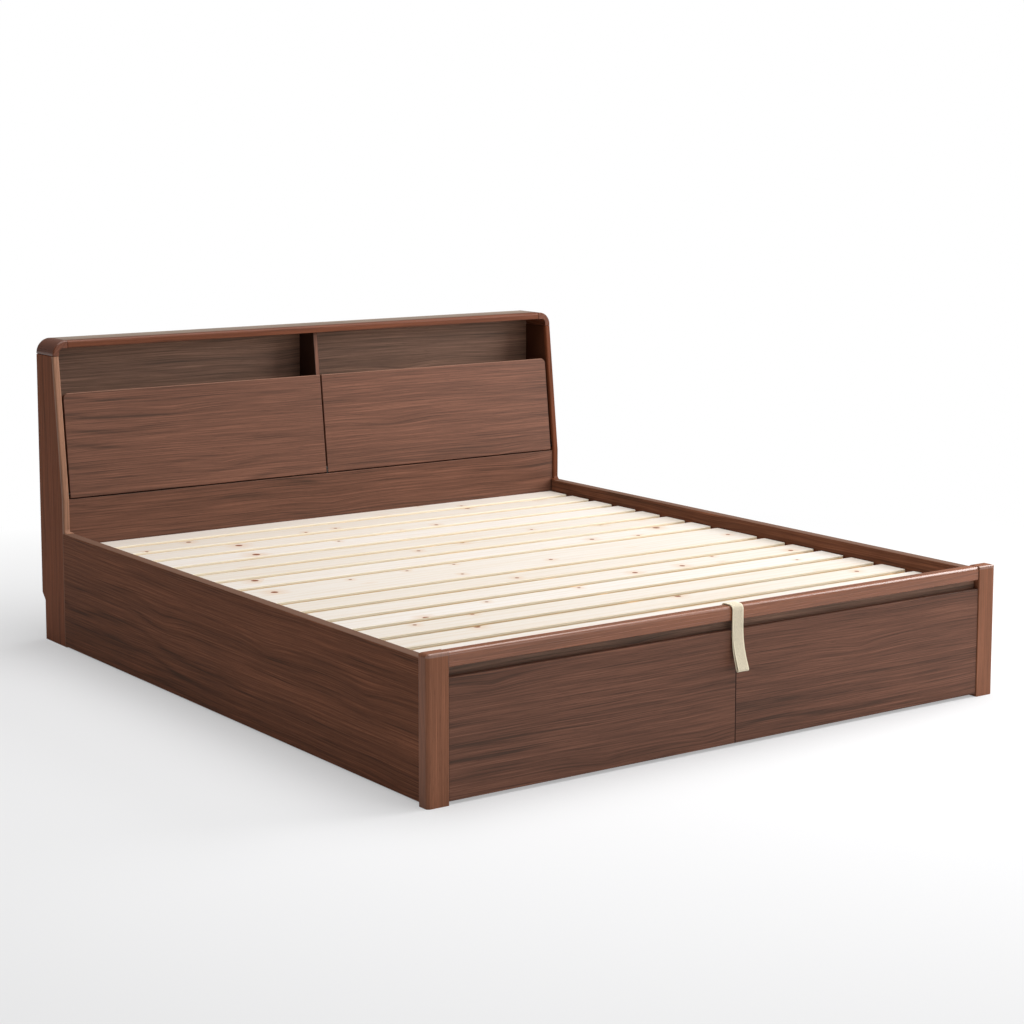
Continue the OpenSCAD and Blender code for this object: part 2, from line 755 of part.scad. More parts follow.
plate_corners = [
    pivot,
    fixed_end,
    [pivot.x + 34, fixed_end.y],
    [pivot.x + 34, pivot.y - 28]
];
plate_bolts = [
    plate_corners[2],
    plate_corners[3],
    [fixed_end.x + 38, fixed_end.y],
    [pivot.x - 14, pivot.y - 60]
];

module plate_outline() difference() {
    union() {
        polygon(plate_corners);
        for (i = [0:3]) link(plate_corners[i], plate_corners[(i + 1) % 4], plate_r);
    }
    translate([pivot.x - 18, (pivot.y + fixed_end.y) / 2 - 14]) circle(30);
    for (hole = plate_bolts) translate(hole) circle(bolt_d / 2 + 0.1);
}

// A pin across the bed, from one place to another
module cross_pin(at, from, to, r) translate([min(from, to), at.x, at.y]) rotate([0, 90, 0])
    cylinder(h = abs(to - from), r = r);

eye_out = strut_x + eye_thickness / 2;
eye_in = strut_x - eye_thickness / 2;
stud_r = stud_d / 2;
collar_r = stud_r + 2.5;

module lift_base() color(steel_black) {
    across(plate_in, inner_x) plate_outline();
    // Pressed rib between the pivot and the strut's foot
    across(plate_in - 1.5, plate_in) link(pivot, fixed_end, 6);
    // Pivot: boss, pin and nut
    cross_pin(pivot, arm_out + washer_gap, plate_in, pivot_ear_r - 1.5);
    cross_pin(pivot, tube_out - washer_gap - nut_height, plate_in, pin_r);
    translate([tube_out - washer_gap - nut_height, pivot.x, pivot.y]) rotate([0, 90, 0])
        cylinder(h = nut_height, r = nut_r, $fn = 6);
    // Stud for the strut's foot
    cross_pin(fixed_end, eye_out + washer_gap, plate_in, collar_r);
    cross_pin(fixed_end, eye_in - washer_gap, plate_in, stud_r);
    cross_pin(fixed_end, eye_in - washer_gap - 2, eye_in - washer_gap, collar_r);
}

module lift_base_bolts() color(zinc)
    for (side = [0, 1], hole = plate_bolts)
        mirror([side, 0, 0])
            translate([inner_x, hole.x, hole.y]) rotate([0, -90, 0]) bolt(base_plate_thickness);

arm_head_y = pivot.x + 24;
arm_foot_y = moving_end.x - 30;
arm_bolts = [for (t = [0.14, 0.42, 0.62]) [arm_head_y + t * (arm_foot_y - arm_head_y), tube_mid]];

module arm_outline() difference() {
    union() {
        translate([arm_foot_y, tube_bottom])
            soft_rect([arm_head_y - arm_foot_y, tube_height], [10, 6, 6, 10]);
        link(pivot, [pivot.x, tube_mid], pivot_ear_r);
        polygon([[pivot.x - 40, tube_top], [pivot.x, pivot.y + 4], [pivot.x, tube_top]]);
    }
    translate(pivot) circle(pin_r + pin_gap);
    for (hole = arm_bolts) translate(hole) circle(bolt_d / 2 + 0.1);
}

module lift_arm() color(steel_black) {
    across(tube_out, arm_out) arm_outline();
    cross_pin(moving_end, arm_out, eye_in - washer_gap, collar_r);
    cross_pin(moving_end, arm_out, eye_out + washer_gap, stud_r);
    cross_pin(moving_end, eye_out + washer_gap, eye_out + washer_gap + 2, collar_r);
}

module lift_arm_bolts() color(zinc)
    for (side = [0, 1], hole = arm_bolts)
        mirror([side, 0, 0])
            translate([tube_out, hole.x, hole.y]) rotate([0, 90, 0]) bolt(arm_thickness);

// Frame of a strut on the right: the origin at one end, Z along the strut towards the other
module at_strut(end, flip) translate([strut_x, end.x, end.y]) rotate([strut_tilt + flip, 0, 0]) children();

module strut_eye() difference() {
    along_x(eye_thickness) union() {
        circle(eye_r - 1);
        translate([1 - eye_r, 0]) square([2 * eye_r - 2, cylinder_foot]);
    }
    rotate([0, 90, 0]) cylinder(h = eye_thickness + 2, r = stud_r + pin_gap, center = true);
}

module strut_cylinder() color(steel_black) at_strut(fixed_end, 0) {
    strut_eye();
    rotate_extrude() difference() {
        translate([0, cylinder_foot]) square([strut_d / 2, cylinder_length]);
        translate([-1, cylinder_foot + plug_length])
            square([strut_d / 2 - strut_wall + 1, cylinder_length - plug_length - guide_length]);
        translate([-1, cylinder_top - guide_length - 1])
            square([rod_d / 2 + slide_gap + 1, guide_length + 2]);
        translate([strut_d / 2, cylinder_top]) rotate(45) square(3, center = true);
    }
}

module strut_rod() color(chrome) at_strut(moving_end, 180) {
    strut_eye();
    translate([0, 0, cylinder_foot]) cylinder(h = 4, r = rod_d / 2 + 2);
    translate([0, 0, cylinder_foot]) cylinder(h = rod_length - cylinder_foot, d = rod_d);
    translate([0, 0, rod_length - piston_length])
        cylinder(h = piston_length, r = strut_d / 2 - strut_wall - slide_gap);
}

// --- Lift frame ---

tube_foot_y = foot_y + tube_front;
tube_head_y = base_head_y - tube_end_inset;
tube_middle_y = base_foot_y + slat_panel_length;

module tube_section() difference() {
    soft_rect([tube_width, tube_height], [3, 3, 3, 3]);
    translate([tube_wall, tube_wall])
        soft_rect([tube_width - 2 * tube_wall, tube_height - 2 * tube_wall], [1, 1, 1, 1]);
}

module cross_tube(y, from, to) color(steel_black)
    across(from, to) translate([y, tube_bottom]) tube_section();

module lift_side_tube() color(steel_black)
    along_y(tube_foot_y, tube_head_y) translate([tube_in, tube_bottom]) tube_section();

module lift_tube_foot() cross_tube(tube_foot_y, -tube_in, tube_in);

module lift_tube_head() cross_tube(tube_head_y - tube_width, -tube_in, tube_in);

module lift_tube_centre() color(steel_black)
    along_y(tube_foot_y + tube_width, tube_head_y - tube_width)
        translate([-tube_width / 2, tube_bottom]) tube_section();

module lift_tube_middle() for (side = [0, 1])
    mirror([side, 0, 0]) cross_tube(tube_middle_y - tube_width / 2, tube_width / 2, tube_in);

// --- Slat panels ---

panel_starts = [base_foot_y, base_foot_y + slat_panel_length];

module slat_battens(x) color(batten_wood)
    for (y = panel_starts)
        along_y(y + batten_end_inset, y + slat_panel_length - batten_end_inset)
            translate([x, tube_top]) soft_rect([batten_width, batten_height], [2, 2, 0, 0]);

module slats(y) color(pine)
    for (i = [0:slats_per_panel - 1])
        along_x(2 * slat_end)
            translate([y + i * slat_pitch, slat_bottom])
                soft_rect([slat_width, slat_thickness], [slat_round, slat_round, slat_round, slat_round]);

// --- Pull strap ---

module strap() color(webbing) translate([0, foot_y, 0]) along_x(strap_width) difference() {
    polygon(strap_outline);
    polygon(strap_ring(strap_split, true));
}

clamp_thickness = 2;

module strap_clamp() color(zinc) {
    across(-strap_width / 2 - 14, strap_width / 2 + 14)
        translate([foot_y + strap_tube_y - strap_half - 0.2 - clamp_thickness, tube_bottom + 3])
            soft_rect([clamp_thickness, tube_height - 6], [1, 0, 0, 1]);
    for (x = [-strap_width / 2 - 8, strap_width / 2 + 8])
        translate([x, foot_y + strap_tube_y - strap_half - 0.2, tube_mid]) rotate([-90, 0, 0])
            cylinder(h = 2 * strap_half + 0.4, d = bolt_d);
}

// --- Assembly ---

left() foot_post();  // foot_post_left
foot_post();  // foot_post_right
left() foot_panel();  // foot_panel_left
foot_panel();  // foot_panel_right
foot_inner_board();
foot_rail();
left() side_panel();  // side_panel_left
side_panel();  // side_panel_right
left() side_ledger();  // side_ledger_left
side_ledger();  // side_ledger_right
left() headboard_side();  // headboard_side_left
headboard_side();  // headboard_side_right
left() headboard_strip();  // headboard_strip_left
headboard_strip();  // headboard_strip_right
left() headboard_corner();  // headboard_corner_left
headboard_corner();  // headboard_corner_right
headboard_top();
headboard_lip();
headboard_divider_upper();
headboard_divider_lower();
headboard_shelf();
headboard_floor();
headboard_front_panel();
headboard_back_panel();
headboard_rear_rail();
centre_board();
left() storage_floor();  // storage_floor_left
storage_floor();  // storage_floor_right
floor_bearers();
corner_brackets();
bracket_bolts();
left() lift_base();  // lift_base_left
lift_base();  // lift_base_right
lift_base_bolts();
door_pivots();
left() lift_side_tube();  // lift_tube_left
lift_side_tube();  // lift_tube_right
lift_tube_foot();
lift_tube_head();
lift_tube_centre();
lift_tube_middle();
left() lift_arm();  // lift_arm_left
lift_arm();  // lift_arm_right
lift_arm_bolts();
slat_battens(-batten_out);  // slat_battens_left
slat_battens(-batten_width / 2);  // slat_battens_centre
slat_battens(batten_out - batten_width);  // slat_battens_right
slats(panel_starts[0]);  // slats_foot
slats(panel_starts[1]);  // slats_head
strap();
strap_clamp();
left() strut_cylinder();  // strut_cylinder_left
strut_cylinder();  // strut_cylinder_right
left() strut_rod();  // strut_rod_left
strut_rod();  // strut_rod_right
left() door();  // door_left
door();  // door_right
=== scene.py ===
"""Studio scene of a storage platform bed, laid out as an add-on and run as a script."""

import json
import math

import bmesh
import bpy
from bpy.props import FloatProperty, FloatVectorProperty, PointerProperty
from mathutils import Matrix, Vector


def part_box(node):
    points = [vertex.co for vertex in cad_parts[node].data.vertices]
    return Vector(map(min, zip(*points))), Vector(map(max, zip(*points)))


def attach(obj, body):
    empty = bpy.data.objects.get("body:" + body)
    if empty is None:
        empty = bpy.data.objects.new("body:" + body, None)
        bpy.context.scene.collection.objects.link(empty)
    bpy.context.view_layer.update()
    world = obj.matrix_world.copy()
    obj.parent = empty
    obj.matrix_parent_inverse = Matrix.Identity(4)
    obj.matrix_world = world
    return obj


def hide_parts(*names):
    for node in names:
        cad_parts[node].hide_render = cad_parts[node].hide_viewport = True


bl_info = {
    "name": "Storage Platform Bed",
    "version": (1, 0, 0),
    "blender": (4, 5, 0),
    "location": "3D View > Sidebar > Platform Bed",
    "description": "Finishes a lift-up platform bed in walnut and pine, with its strap, bolts and studio",
    "category": "Object",
}

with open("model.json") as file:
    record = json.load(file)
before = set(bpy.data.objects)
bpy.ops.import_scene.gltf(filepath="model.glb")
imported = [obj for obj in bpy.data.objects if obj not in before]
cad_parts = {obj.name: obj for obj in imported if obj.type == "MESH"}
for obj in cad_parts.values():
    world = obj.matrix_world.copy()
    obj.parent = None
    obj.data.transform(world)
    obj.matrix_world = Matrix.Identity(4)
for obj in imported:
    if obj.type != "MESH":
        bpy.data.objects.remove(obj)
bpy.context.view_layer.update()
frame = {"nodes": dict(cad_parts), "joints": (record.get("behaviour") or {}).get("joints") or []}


# -------------------- settings


def colour(name, default, description):
    """A colour that the user may change."""
    return FloatVectorProperty(
        name=name, description=description, subtype="COLOR", size=3, min=0, max=1, default=default
    )


def length(name, default, description):
    """A length in metres that the user may change."""
    return FloatProperty(name=name, description=description, default=default, min=0, unit="LENGTH")


def power(name, default, description):
    """A softbox's power in watts that the user may change."""
    return FloatProperty(name=name, description=description, default=default, min=0, unit="POWER")


class BedWoodSettings(bpy.types.PropertyGroup):
    """Colours of the walnut and the pine."""

    solid: colour("Solid walnut", (0.228, 0.09, 0.047), "Foot posts")
    rail: colour("Rail walnut", (0.235, 0.081, 0.036), "Foot rail")
    # The left strip's paler tone is partly a painted highlight; the block tone paints shade on the right
    # strip
    strip: colour("Strip walnut", (0.305, 0.157, 0.098), "Left front strip of the headboard")
    block: colour("Corner block", (0.13, 0.039, 0.0165), "Headboard's moulded corners, lip and right strip")
    front: colour("Front veneer", (0.141, 0.061, 0.038), "Foot panels, doors, fixed panel and upper divider")
    side: colour("Side veneer", (0.168, 0.065, 0.035), "Side panels")
    end: colour("End veneer", (0.24, 0.084, 0.0425), "Ends of the headboard")
    inside: colour("Inside veneer", (0.212, 0.12, 0.082), "Back panel, shelf, floor and groove board")
    top: colour("Top veneer", (0.26, 0.195, 0.152), "Top board of the headboard")
    pine: colour("Pine", (0.638, 0.597, 0.555), "Slats")
    softwood: colour("Softwood", (0.62, 0.47, 0.3), "Battens, ledgers and bearers")
    knot: colour("Knot", (0.2, 0.06, 0.018), "Knots in the pine")
    ring_gap: length("Ring spacing", 0.05, "Distance between the walnut's dark heart lines")


class BedStrapSettings(bpy.types.PropertyGroup):
    """The folded webbing strap that lifts the slatted base."""

    webbing: colour("Webbing", (0.68, 0.595, 0.44), "Colour of the yarn")
    width: length("Width", 0.035, "Width of the webbing")
    thickness: length("Thickness", 0.0015, "Thickness of one layer")
    drop: length("Drop", 0.167, "Length that hangs below the foot rail's top")
    kick: length("Kick", 0.021, "Distance by which the end stands forward")
    fold: length("Fold", 0.005, "Half the width of the fold at the end")


class BedStudioSettings(bpy.types.PropertyGroup):
    """Light levels of the studio."""

    key: power("Key light", 165, "Power of the right softbox")
    front: power("Front light", 50, "Power of the front softbox")
    top: power("Top light", 274, "Power of the overhead softbox")
    ambient: FloatProperty(name="Ambient", description="Strength of the white surround", default=0.195, min=0)


def settings():
    scene = bpy.context.scene
    return scene.bed_wood, scene.bed_strap, scene.bed_studio


# -------------------- node graphs

SHADER_NODES = {"materials": ("Principled BSDF", "Material Output"), "worlds": ("Background", "World Output")}
NOISE_REACH = (0.3, 0.7)


class Graph:
    """Short calls for the shader nodes of a new material or world."""

    def __init__(self, name, kind="materials"):
        self.owner = getattr(bpy.data, kind).new(name)
        self.owner.use_nodes = True
        self.tree = self.owner.node_tree
        self.shader, self.output = (self.tree.nodes[key] for key in SHADER_NODES[kind])

    def node(self, kind, inputs=None, **properties):
        made = self.tree.nodes.new("ShaderNode" + kind)
        for key, value in properties.items():
            setattr(made, key, value)
        for key, value in (inputs or {}).items():
            self.feed(made.inputs[key], value)
        return made

    def feed(self, socket, value):
        if isinstance(value, bpy.types.NodeSocket):
            self.tree.links.new(value, socket)
        else:
            socket.default_value = value

    def math(self, operation, first, second=0.0, third=0.0):
        made = self.node("Math", operation=operation)
        for socket, value in zip(made.inputs, (first, second, third)):
            self.feed(socket, value)
        return made.outputs[0]

    def times(self, first, second, plus=None):
        """The product of two values, plus a third one where it is given."""
        if plus is None:
            return self.math("MULTIPLY", first, second)
        return self.math("MULTIPLY_ADD", first, second, plus)

    def centred(self, noise, amount, plus):
        """A value that the noise moves up and down by half the amount at most."""
        return self.times(self.math("SUBTRACT", noise, 0.5), amount, plus)

    def remap(self, value, start, end, to_start=0.0, to_end=1.0):
        limits = {"From Min": start, "From Max": end, "To Min": to_start, "To Max": to_end}
        return self.node("MapRange", {"Value": value, **limits}).outputs["Result"]

    def vary(self, noise, least, most):
        """The usual reach of a noise, spread from the least value to the most."""
        return self.remap(noise, *NOISE_REACH, least, most)

    def blend(self, factor, first, second):
        inputs = {"Factor": factor, "A": first, "B": second}
        return self.node("Mix", inputs, data_type="RGBA").outputs["Result"]

    def ramp(self, value, *stops):
        made = self.node("ValToRGB", {"Fac": value})
        elements = made.color_ramp.elements
        while len(elements) < len(stops):
            elements.new(0.5)
        for element, (place, tone) in zip(elements, stops):
            element.position = place
            element.color = tone if len(tone) == 4 else (*tone, 1)
        return made.outputs["Color"]

    def place(self):
        return self.node("TexCoord").outputs["Object"]

    def split(self, vector):
        return self.node("SeparateXYZ", {"Vector": vector}).outputs

    def vector(self, x, y, z=0.0):
        return self.node("CombineXYZ", {"X": x, "Y": y, "Z": z}).outputs[0]

    def vector_math(self, operation, first, second):
        return self.node("VectorMath", {0: first, 1: second}, operation=operation).outputs

    def noise(self, vector, scale=1.0, detail=2.0, roughness=0.5):
        inputs = {"Vector": vector, "Scale": scale, "Detail": detail, "Roughness": roughness}
        return self.node("TexNoise", inputs).outputs["Fac"]

    def stretch(self, along, rate, across, cross_rate, depth=0.0):
        """A vector that grows at one rate along the grain and at another across it."""
        return self.vector(self.times(along, rate), self.times(across, cross_rate), depth)

    def streaks(self, along, rate, across, cross_rate, depth=0.0, detail=2.0, roughness=0.5):
        """Noise drawn out along the grain: how often it changes each way, per metre."""
        return self.noise(self.stretch(along, rate, across, cross_rate, depth), 1.0, detail, roughness)

    def bump(self, height, distance, strength):
        inputs = {"Height": height, "Distance": distance, "Strength": strength}
        return self.node("Bump", inputs).outputs["Normal"]

    def seen_by(self, first, *others):
        """One where the ray is of one of these kinds, zero elsewhere."""
        paths = self.node("LightPath").outputs
        seen = paths[f"Is {first} Ray"]
        for kind in others:
            seen = self.math("MAXIMUM", seen, paths[f"Is {kind} Ray"])
        return seen

    def surface(self, **sockets):
        for key, value in sockets.items():
            self.feed(self.shader.inputs[key.replace("_", " ")], value)
        return self.owner

    def overlay(self, share, shader):
        """Show another shader in place of the graph's own one, in that share."""
        both = self.node("MixShader", {0: share, 1: self.shader.outputs[0], 2: shader.outputs[0]})
        self.feed(self.output.inputs["Surface"], both.outputs[0])


def shade(tone, *factors):
    """The tone times one factor, or times a factor for each channel."""
    if len(factors) == 1:
        factors *= 3
    return (*(min(1, channel * factor) for channel, factor in zip(tone, factors)), 1)


# -------------------- walnut

GRAIN_TURN = {"X": (0, 0, 0), "Y": (0, 0, -math.pi / 2), "Z": (0, math.pi / 2, 0)}

# Step of the pattern's place along each axis from one seed to the next
SEED_STEP = (1.7, 0.31, 0.53)

# Streaks: changes per metre along and across the grain, depth in the noise, detail and weight
STREAKS = {
    "cloud": (0.6, 14.0, 9.0, 3.0, 0.45),
    "streak": (0.8, 60.0, 3.0, 3.0, 0.42),
    "fibre": (5.0, 420.0, 6.0, 4.0, 1.15),
    "thread": (1.9, 170.0, 12.0, 3.0, 0.8),
}
PORE_RATE = (32, 620, 620)
PORE_DARKNESS = 0.34

# How far the streaks wander and bend round small eyes, in metres, and the heart lines' weight
WANDER = 0.036
SWIRL = 0.014
HEART_WANDER = 0.3
HEART_DARKNESS = 0.2

# Contrast of the streaks, roughness and shine of each kind of board
FINISHES = {
    "post": (0.55, 0.34, 0.14),
    "strip": (0.55, 0.42, 0.08),
    "block": (0.6, 0.28, 0.4),
    "rail": (0.6, 0.24, 0.5),
    "lip": (0.7, 0.32, 0.2),
    "veneer": (1.0, 0.46, 0.16),
    "side": (1.0, 0.6, 0.05),
    "end": (0.7, 0.6, 0.05),
    "inside": (1.0, 0.5, 0.16),
    "top": (0.8, 0.4, 0.16),
}

# Dark ends and edges, as edge bands or as painted shade on cheeks and inner faces: thickness and fade; and
# tone factors and thickness of the two kinds of top edge
BAND = 0.001
BAND_FADE = 0.0005
# The paler top edge is a painted highlight along the doors' top, lit from above
CAPS = {"greyer": (0.88, 1.25, 1.6, 0.001), "painted_top_highlight": (1.6, 1.75, 1.8, 0.0025)}

# A worn edge: distance from the edge where the gloss begins and where it is full
RUBBED_EDGE = 0.01
RUBBED_FULL = 0.008
RUBBED_GLOSS = 1.0


def grain_coordinates(graph, grain, shift):
    """Coordinates along the grain, across it in the board's plane, and the turned vector."""
    mapping = {"Vector": graph.place(), "Location": shift, "Rotation": GRAIN_TURN[grain]}
    turned = graph.node("Mapping", mapping).outputs[0]
    parts = graph.split(turned)
    return parts["X"], graph.math("ADD", parts["Y"], parts["Z"]), turned


def walnut_face(graph, tone, grain, seed, contrast):
    """A walnut face's colour, with its fibre and its pores."""
    wood, _, _ = settings()
    along, across, turned = grain_coordinates(graph, grain, [seed * step for step in SEED_STEP])

    def field(rate, cross_rate, side, depth, detail=3.0):
        return graph.streaks(along, rate, side, cross_rate, depth, detail, roughness=0.55)

    # All streaks wander together and bend round small eyes
    eyes = {"Vector": graph.stretch(along, 1.4, across, 4.5), "Scale": 1.0}
    eye = graph.node("TexVoronoi", eyes, feature="SMOOTH_F1", voronoi_dimensions="2D")
    swirl = graph.math("POWER", graph.remap(eye.outputs["Distance"], 0.3, 0.0), 2.0)
    wander = field(0.8, 2.4, across, seed)
    flow = graph.times(swirl, SWIRL, plus=graph.centred(wander, WANDER, across))

    level = 0.5
    streaks = {}
    for name, (rate, cross_rate, depth, detail, weight) in STREAKS.items():
        streaks[name] = field(rate, cross_rate, flow, depth, detail)
        level = graph.centred(streaks[name], weight, level)

    # Dark heart lines, in some regions only
    heart = graph.centred(field(0.6, 2.2, across, seed + 5.0), HEART_WANDER, flow)
    wave = graph.math("SINE", graph.times(heart, math.tau / wood.ring_gap))
    lines = graph.math("POWER", graph.times(wave, 0.5, plus=0.5), 5.0)
    region = graph.remap(field(0.8, 5.0, across, seed + 9.0), 0.46, 0.6)
    level = graph.math("SUBTRACT", level, graph.times(graph.times(lines, region), HEART_DARKNESS))

    spread = 0.3 / contrast
    face = graph.ramp(
        level,
        (0.5 - spread, shade(tone, 0.46, 0.54, 0.56)),
        (0.5 - spread * 0.35, shade(tone, 0.84)),
        (0.5 + spread * 0.3, shade(tone, 1.12)),
        (0.5 + spread, shade(tone, 1.6)),
    )
    pores = graph.remap(graph.noise(graph.vector_math("MULTIPLY", turned, PORE_RATE)[0]), 0.58, 0.72)
    face = graph.blend(graph.times(pores, PORE_DARKNESS), face, shade(tone, 0.34))
    return face, streaks["fibre"], pores


def walnut(name, tone, grain, seed, finish="veneer", node=None, edge=None, rubbed=False):
    """Lacquered walnut, with the edges of the board whose node is given.

    Edge is banded for dark ends across the bed, which are edge bands or, on the upper divider,
    painted shade on its cheeks; lined for painted shade on the face towards the bed's middle; or
    one of CAPS for the top edge, of which paler is a painted highlight. The upper front edge of a
    rubbed board is worn to a higher gloss.
    """
    graph = Graph(name)
    contrast, roughness, shine = FINISHES[finish]
    face, fibre, pores = walnut_face(graph, tone, grain, seed, contrast)
    gloss = shine
    if edge or rubbed:
        place, lowest, highest = graph.split(graph.place()), low(node), high(node)
    # Dark ends across the bed: edge bands on the panels and rail, painted shade on the upper divider's cheeks
    if edge == "banded":
        off_centre = graph.math("SUBTRACT", place["X"], (lowest.x + highest.x) / 2)
        half = (highest.x - lowest.x) / 2
        dark_end = graph.remap(graph.math("ABSOLUTE", off_centre), half - BAND - BAND_FADE, half - BAND)
        face = graph.blend(dark_end, face, shade(tone, 0.25))
    # Painted shade on the face towards the bed's middle, with a thin dark line along it
    elif edge == "lined":
        inner = min(abs(lowest.x), abs(highest.x))
        inside_shade = graph.remap(graph.math("ABSOLUTE", place["X"]), inner + BAND, inner + BAND - BAND_FADE)
        face = graph.blend(inside_shade, face, shade(tone, 0.3))
    elif edge:
        *factors, depth = CAPS[edge]
        cap = graph.remap(place["Z"], highest.z - depth, highest.z - depth * 0.5)
        face = graph.blend(cap, face, shade(tone, *factors))
    if rubbed:
        front = graph.remap(place["Y"], lowest.y + RUBBED_EDGE, lowest.y + RUBBED_FULL)
        upper = graph.remap(place["Z"], highest.z - RUBBED_EDGE, highest.z - RUBBED_FULL)
        gloss = graph.times(graph.times(front, upper), RUBBED_GLOSS - shine, plus=shine)
    relief = graph.times(fibre, 0.5, plus=graph.times(pores, -1.0))
    return graph.surface(
        Base_Color=face,
        Roughness=graph.vary(fibre, roughness - 0.05, roughness + 0.06),
        Specular_IOR_Level=gloss,
        Normal=graph.bump(relief, 0.00012, 0.6 - shine),
    )


# -------------------- pine

# Tone factors of the pine's parts
AGED = (0.97, 0.95, 0.91)
LATEWOOD = (0.88, 0.75, 0.58)
KNOT_HALO = (0.88, 0.6, 0.38)
# The pale upper band of a slat's side is a painted highlight, as if lit like the top
PAINTED_ARRIS = (1.52, 1.4, 1.12)
# The tan of the lower sides is painted shade for the gaps between slats, warm like light thrown back by the
# wood
GAP_SHADE = (1.42, 1.06, 0.62)

# Depths below a slat's top, or heights above its bottom, where a part begins and is full
PAINTED_ARRIS_DEPTHS = (0.0004, 0.0015)
GAP_SHADE_DEPTHS = (0.005, 0.0068)
GAP_SHADE_HEIGHTS = (0.0002, 0.001)
PAINTED_ARRIS_SHARE = 0.95
LEAN = 1.6

# Knots: cells per metre, share of cells without one, least size, and growth to the largest
KNOT_CELLS = 6.0
KNOT_FREE = 0.5
KNOT_SIZE = 0.027
KNOT_GROWTH = 0.042

# Steps that keep one slat's pattern apart from the next one's
SLAT_SHIFT = 9.0
SLAT_STEP = 3.7


def pine(name, tone, knot_tone, start, pitch, bottom, top):
    """Bare planed pine: each slat has its own tone, rings and knots, and painted light on its sides: a pale
    highlight above and tan shade below.
    """
    graph = Graph(name)
    x, across, height = graph.split(graph.place())
    index = graph.math("FLOOR", graph.math("DIVIDE", graph.math("SUBTRACT", across, start), pitch))
    chance = graph.node("TexWhiteNoise", {"W": index}, noise_dimensions="1D").outputs["Value"]
    along = graph.times(chance, SLAT_SHIFT, plus=x)

    # One chance of a knot in each cell; a few are large, most are pins
    spot = graph.vector(graph.math("ADD", along, graph.times(index, SLAT_STEP)), across)
    cell = graph.node("TexVoronoi", {"Vector": spot, "Scale": KNOT_CELLS}, voronoi_dimensions="2D")
    dice = graph.node("SeparateColor", {"Color": cell.outputs["Color"]}).outputs
    picked = graph.math("GREATER_THAN", dice[0], KNOT_FREE)
    size = graph.times(graph.math("POWER", dice[1], 3.0), KNOT_GROWTH, plus=KNOT_SIZE)
    reach = graph.math("DIVIDE", cell.outputs["Distance"], size)
    core = graph.times(picked, graph.remap(reach, 1.25, 0.95))
    halo = graph.times(picked, graph.remap(reach, 5.5, 0.9))

    # Rings that bend round the knots, with fine streaks and broad blushes
    drift = graph.streaks(along, 1.3, across, 7, index)
    phase = graph.times(drift, 6.0, plus=graph.times(across, 70))
    phase = graph.times(height, 60, plus=graph.times(halo, 0.9, plus=phase))
    ring = graph.math("POWER", graph.math("PINGPONG", phase, 1.0), 4.0)
    streak = graph.streaks(along, 4, across, 240, height, detail=3.0)
    blush = graph.streaks(along, 2, across, 30, index)
    grain = graph.times(ring, 0.34, plus=graph.times(graph.math("SUBTRACT", streak, 0.44), 0.9))
    grain = graph.math("MAXIMUM", graph.centred(blush, 0.6, grain), 0.0)
    body = graph.blend(chance, shade(tone, 1.03), shade(tone, *AGED))
    body = graph.blend(grain, body, shade(tone, *LATEWOOD))
    body = graph.blend(graph.times(halo, 0.42), body, shade(tone, *KNOT_HALO))
    body = graph.blend(core, body, (*knot_tone, 1))

    # Painted highlight on the upper part of the sides, and painted tan shade lower down that is patchy along
    # the slat
    # Painted highlight on the upper part of a slat's side
    painted_arris = graph.remap(height, *(top - depth for depth in PAINTED_ARRIS_DEPTHS))
    body = graph.blend(graph.times(painted_arris, PAINTED_ARRIS_SHARE), body, shade(tone, *PAINTED_ARRIS))
    # Painted tan shade on the lower part of a slat's side, for the gaps between slats, patchy along the slat
    side = graph.remap(height, *(top - depth for depth in GAP_SHADE_DEPTHS))
    gap_shade = graph.times(side, graph.remap(height, *(bottom + rise for rise in GAP_SHADE_HEIGHTS)))
    worn = graph.remap(graph.noise(graph.vector(graph.times(along, 2.3), index)), 0.45, 0.66, 0.95, 0.15)
    body = graph.blend(graph.times(gap_shade, worn), body, shade(tone, *GAP_SHADE))

    # The long edges are eased: the upper part of a slat's side is shaded as if it leaned back
    relief = graph.times(core, 0.8, plus=graph.times(streak, 0.6, plus=graph.times(ring, 0.3)))
    turn = {"vector_type": "NORMAL", "convert_from": "OBJECT", "convert_to": "WORLD"}
    upright = graph.node("VectorTransform", {"Vector": (0, 0, 1)}, **turn).outputs[0]
    lean = graph.times(graph.math("SUBTRACT", 1.0, side), LEAN)
    lean = graph.node("VectorMath", {0: upright, "Scale": lean}, operation="SCALE").outputs[0]
    eased = graph.vector_math("ADD", graph.bump(relief, 0.00015, 0.5), lean)[0]
    return graph.surface(
        Base_Color=body,
        Roughness=graph.vary(streak, 0.6, 0.72),
        Specular_IOR_Level=0.2,
        Normal=graph.node("VectorMath", {0: eased}, operation="NORMALIZE").outputs[0],
    )


# -------------------- other materials


def softwood(name, tone, grain):
    """Sawn softwood of the hidden framing."""
    graph = Graph(name)
    along, across, _ = grain_coordinates(graph, grain, (0.4, 0.1, 0.2))
    fibre = graph.streaks(along, 6, across, 230, detail=4.0, roughness=0.6)
    rings = graph.streaks(along, 1.2, across, 60)
    level = graph.times(rings, 0.5, plus=graph.times(fibre, 0.5))
    stops = (0.3, shade(tone, 0.74)), (0.52, shade(tone, 1.0)), (0.72, shade(tone, 1.2))
    return graph.surface(
        Base_Color=graph.ramp(level, *stops),
        Roughness=graph.vary(fibre, 0.6, 0.78),
        Specular_IOR_Level=0.25,
        Normal=graph.bump(fibre, 0.0004, 0.5),
    )


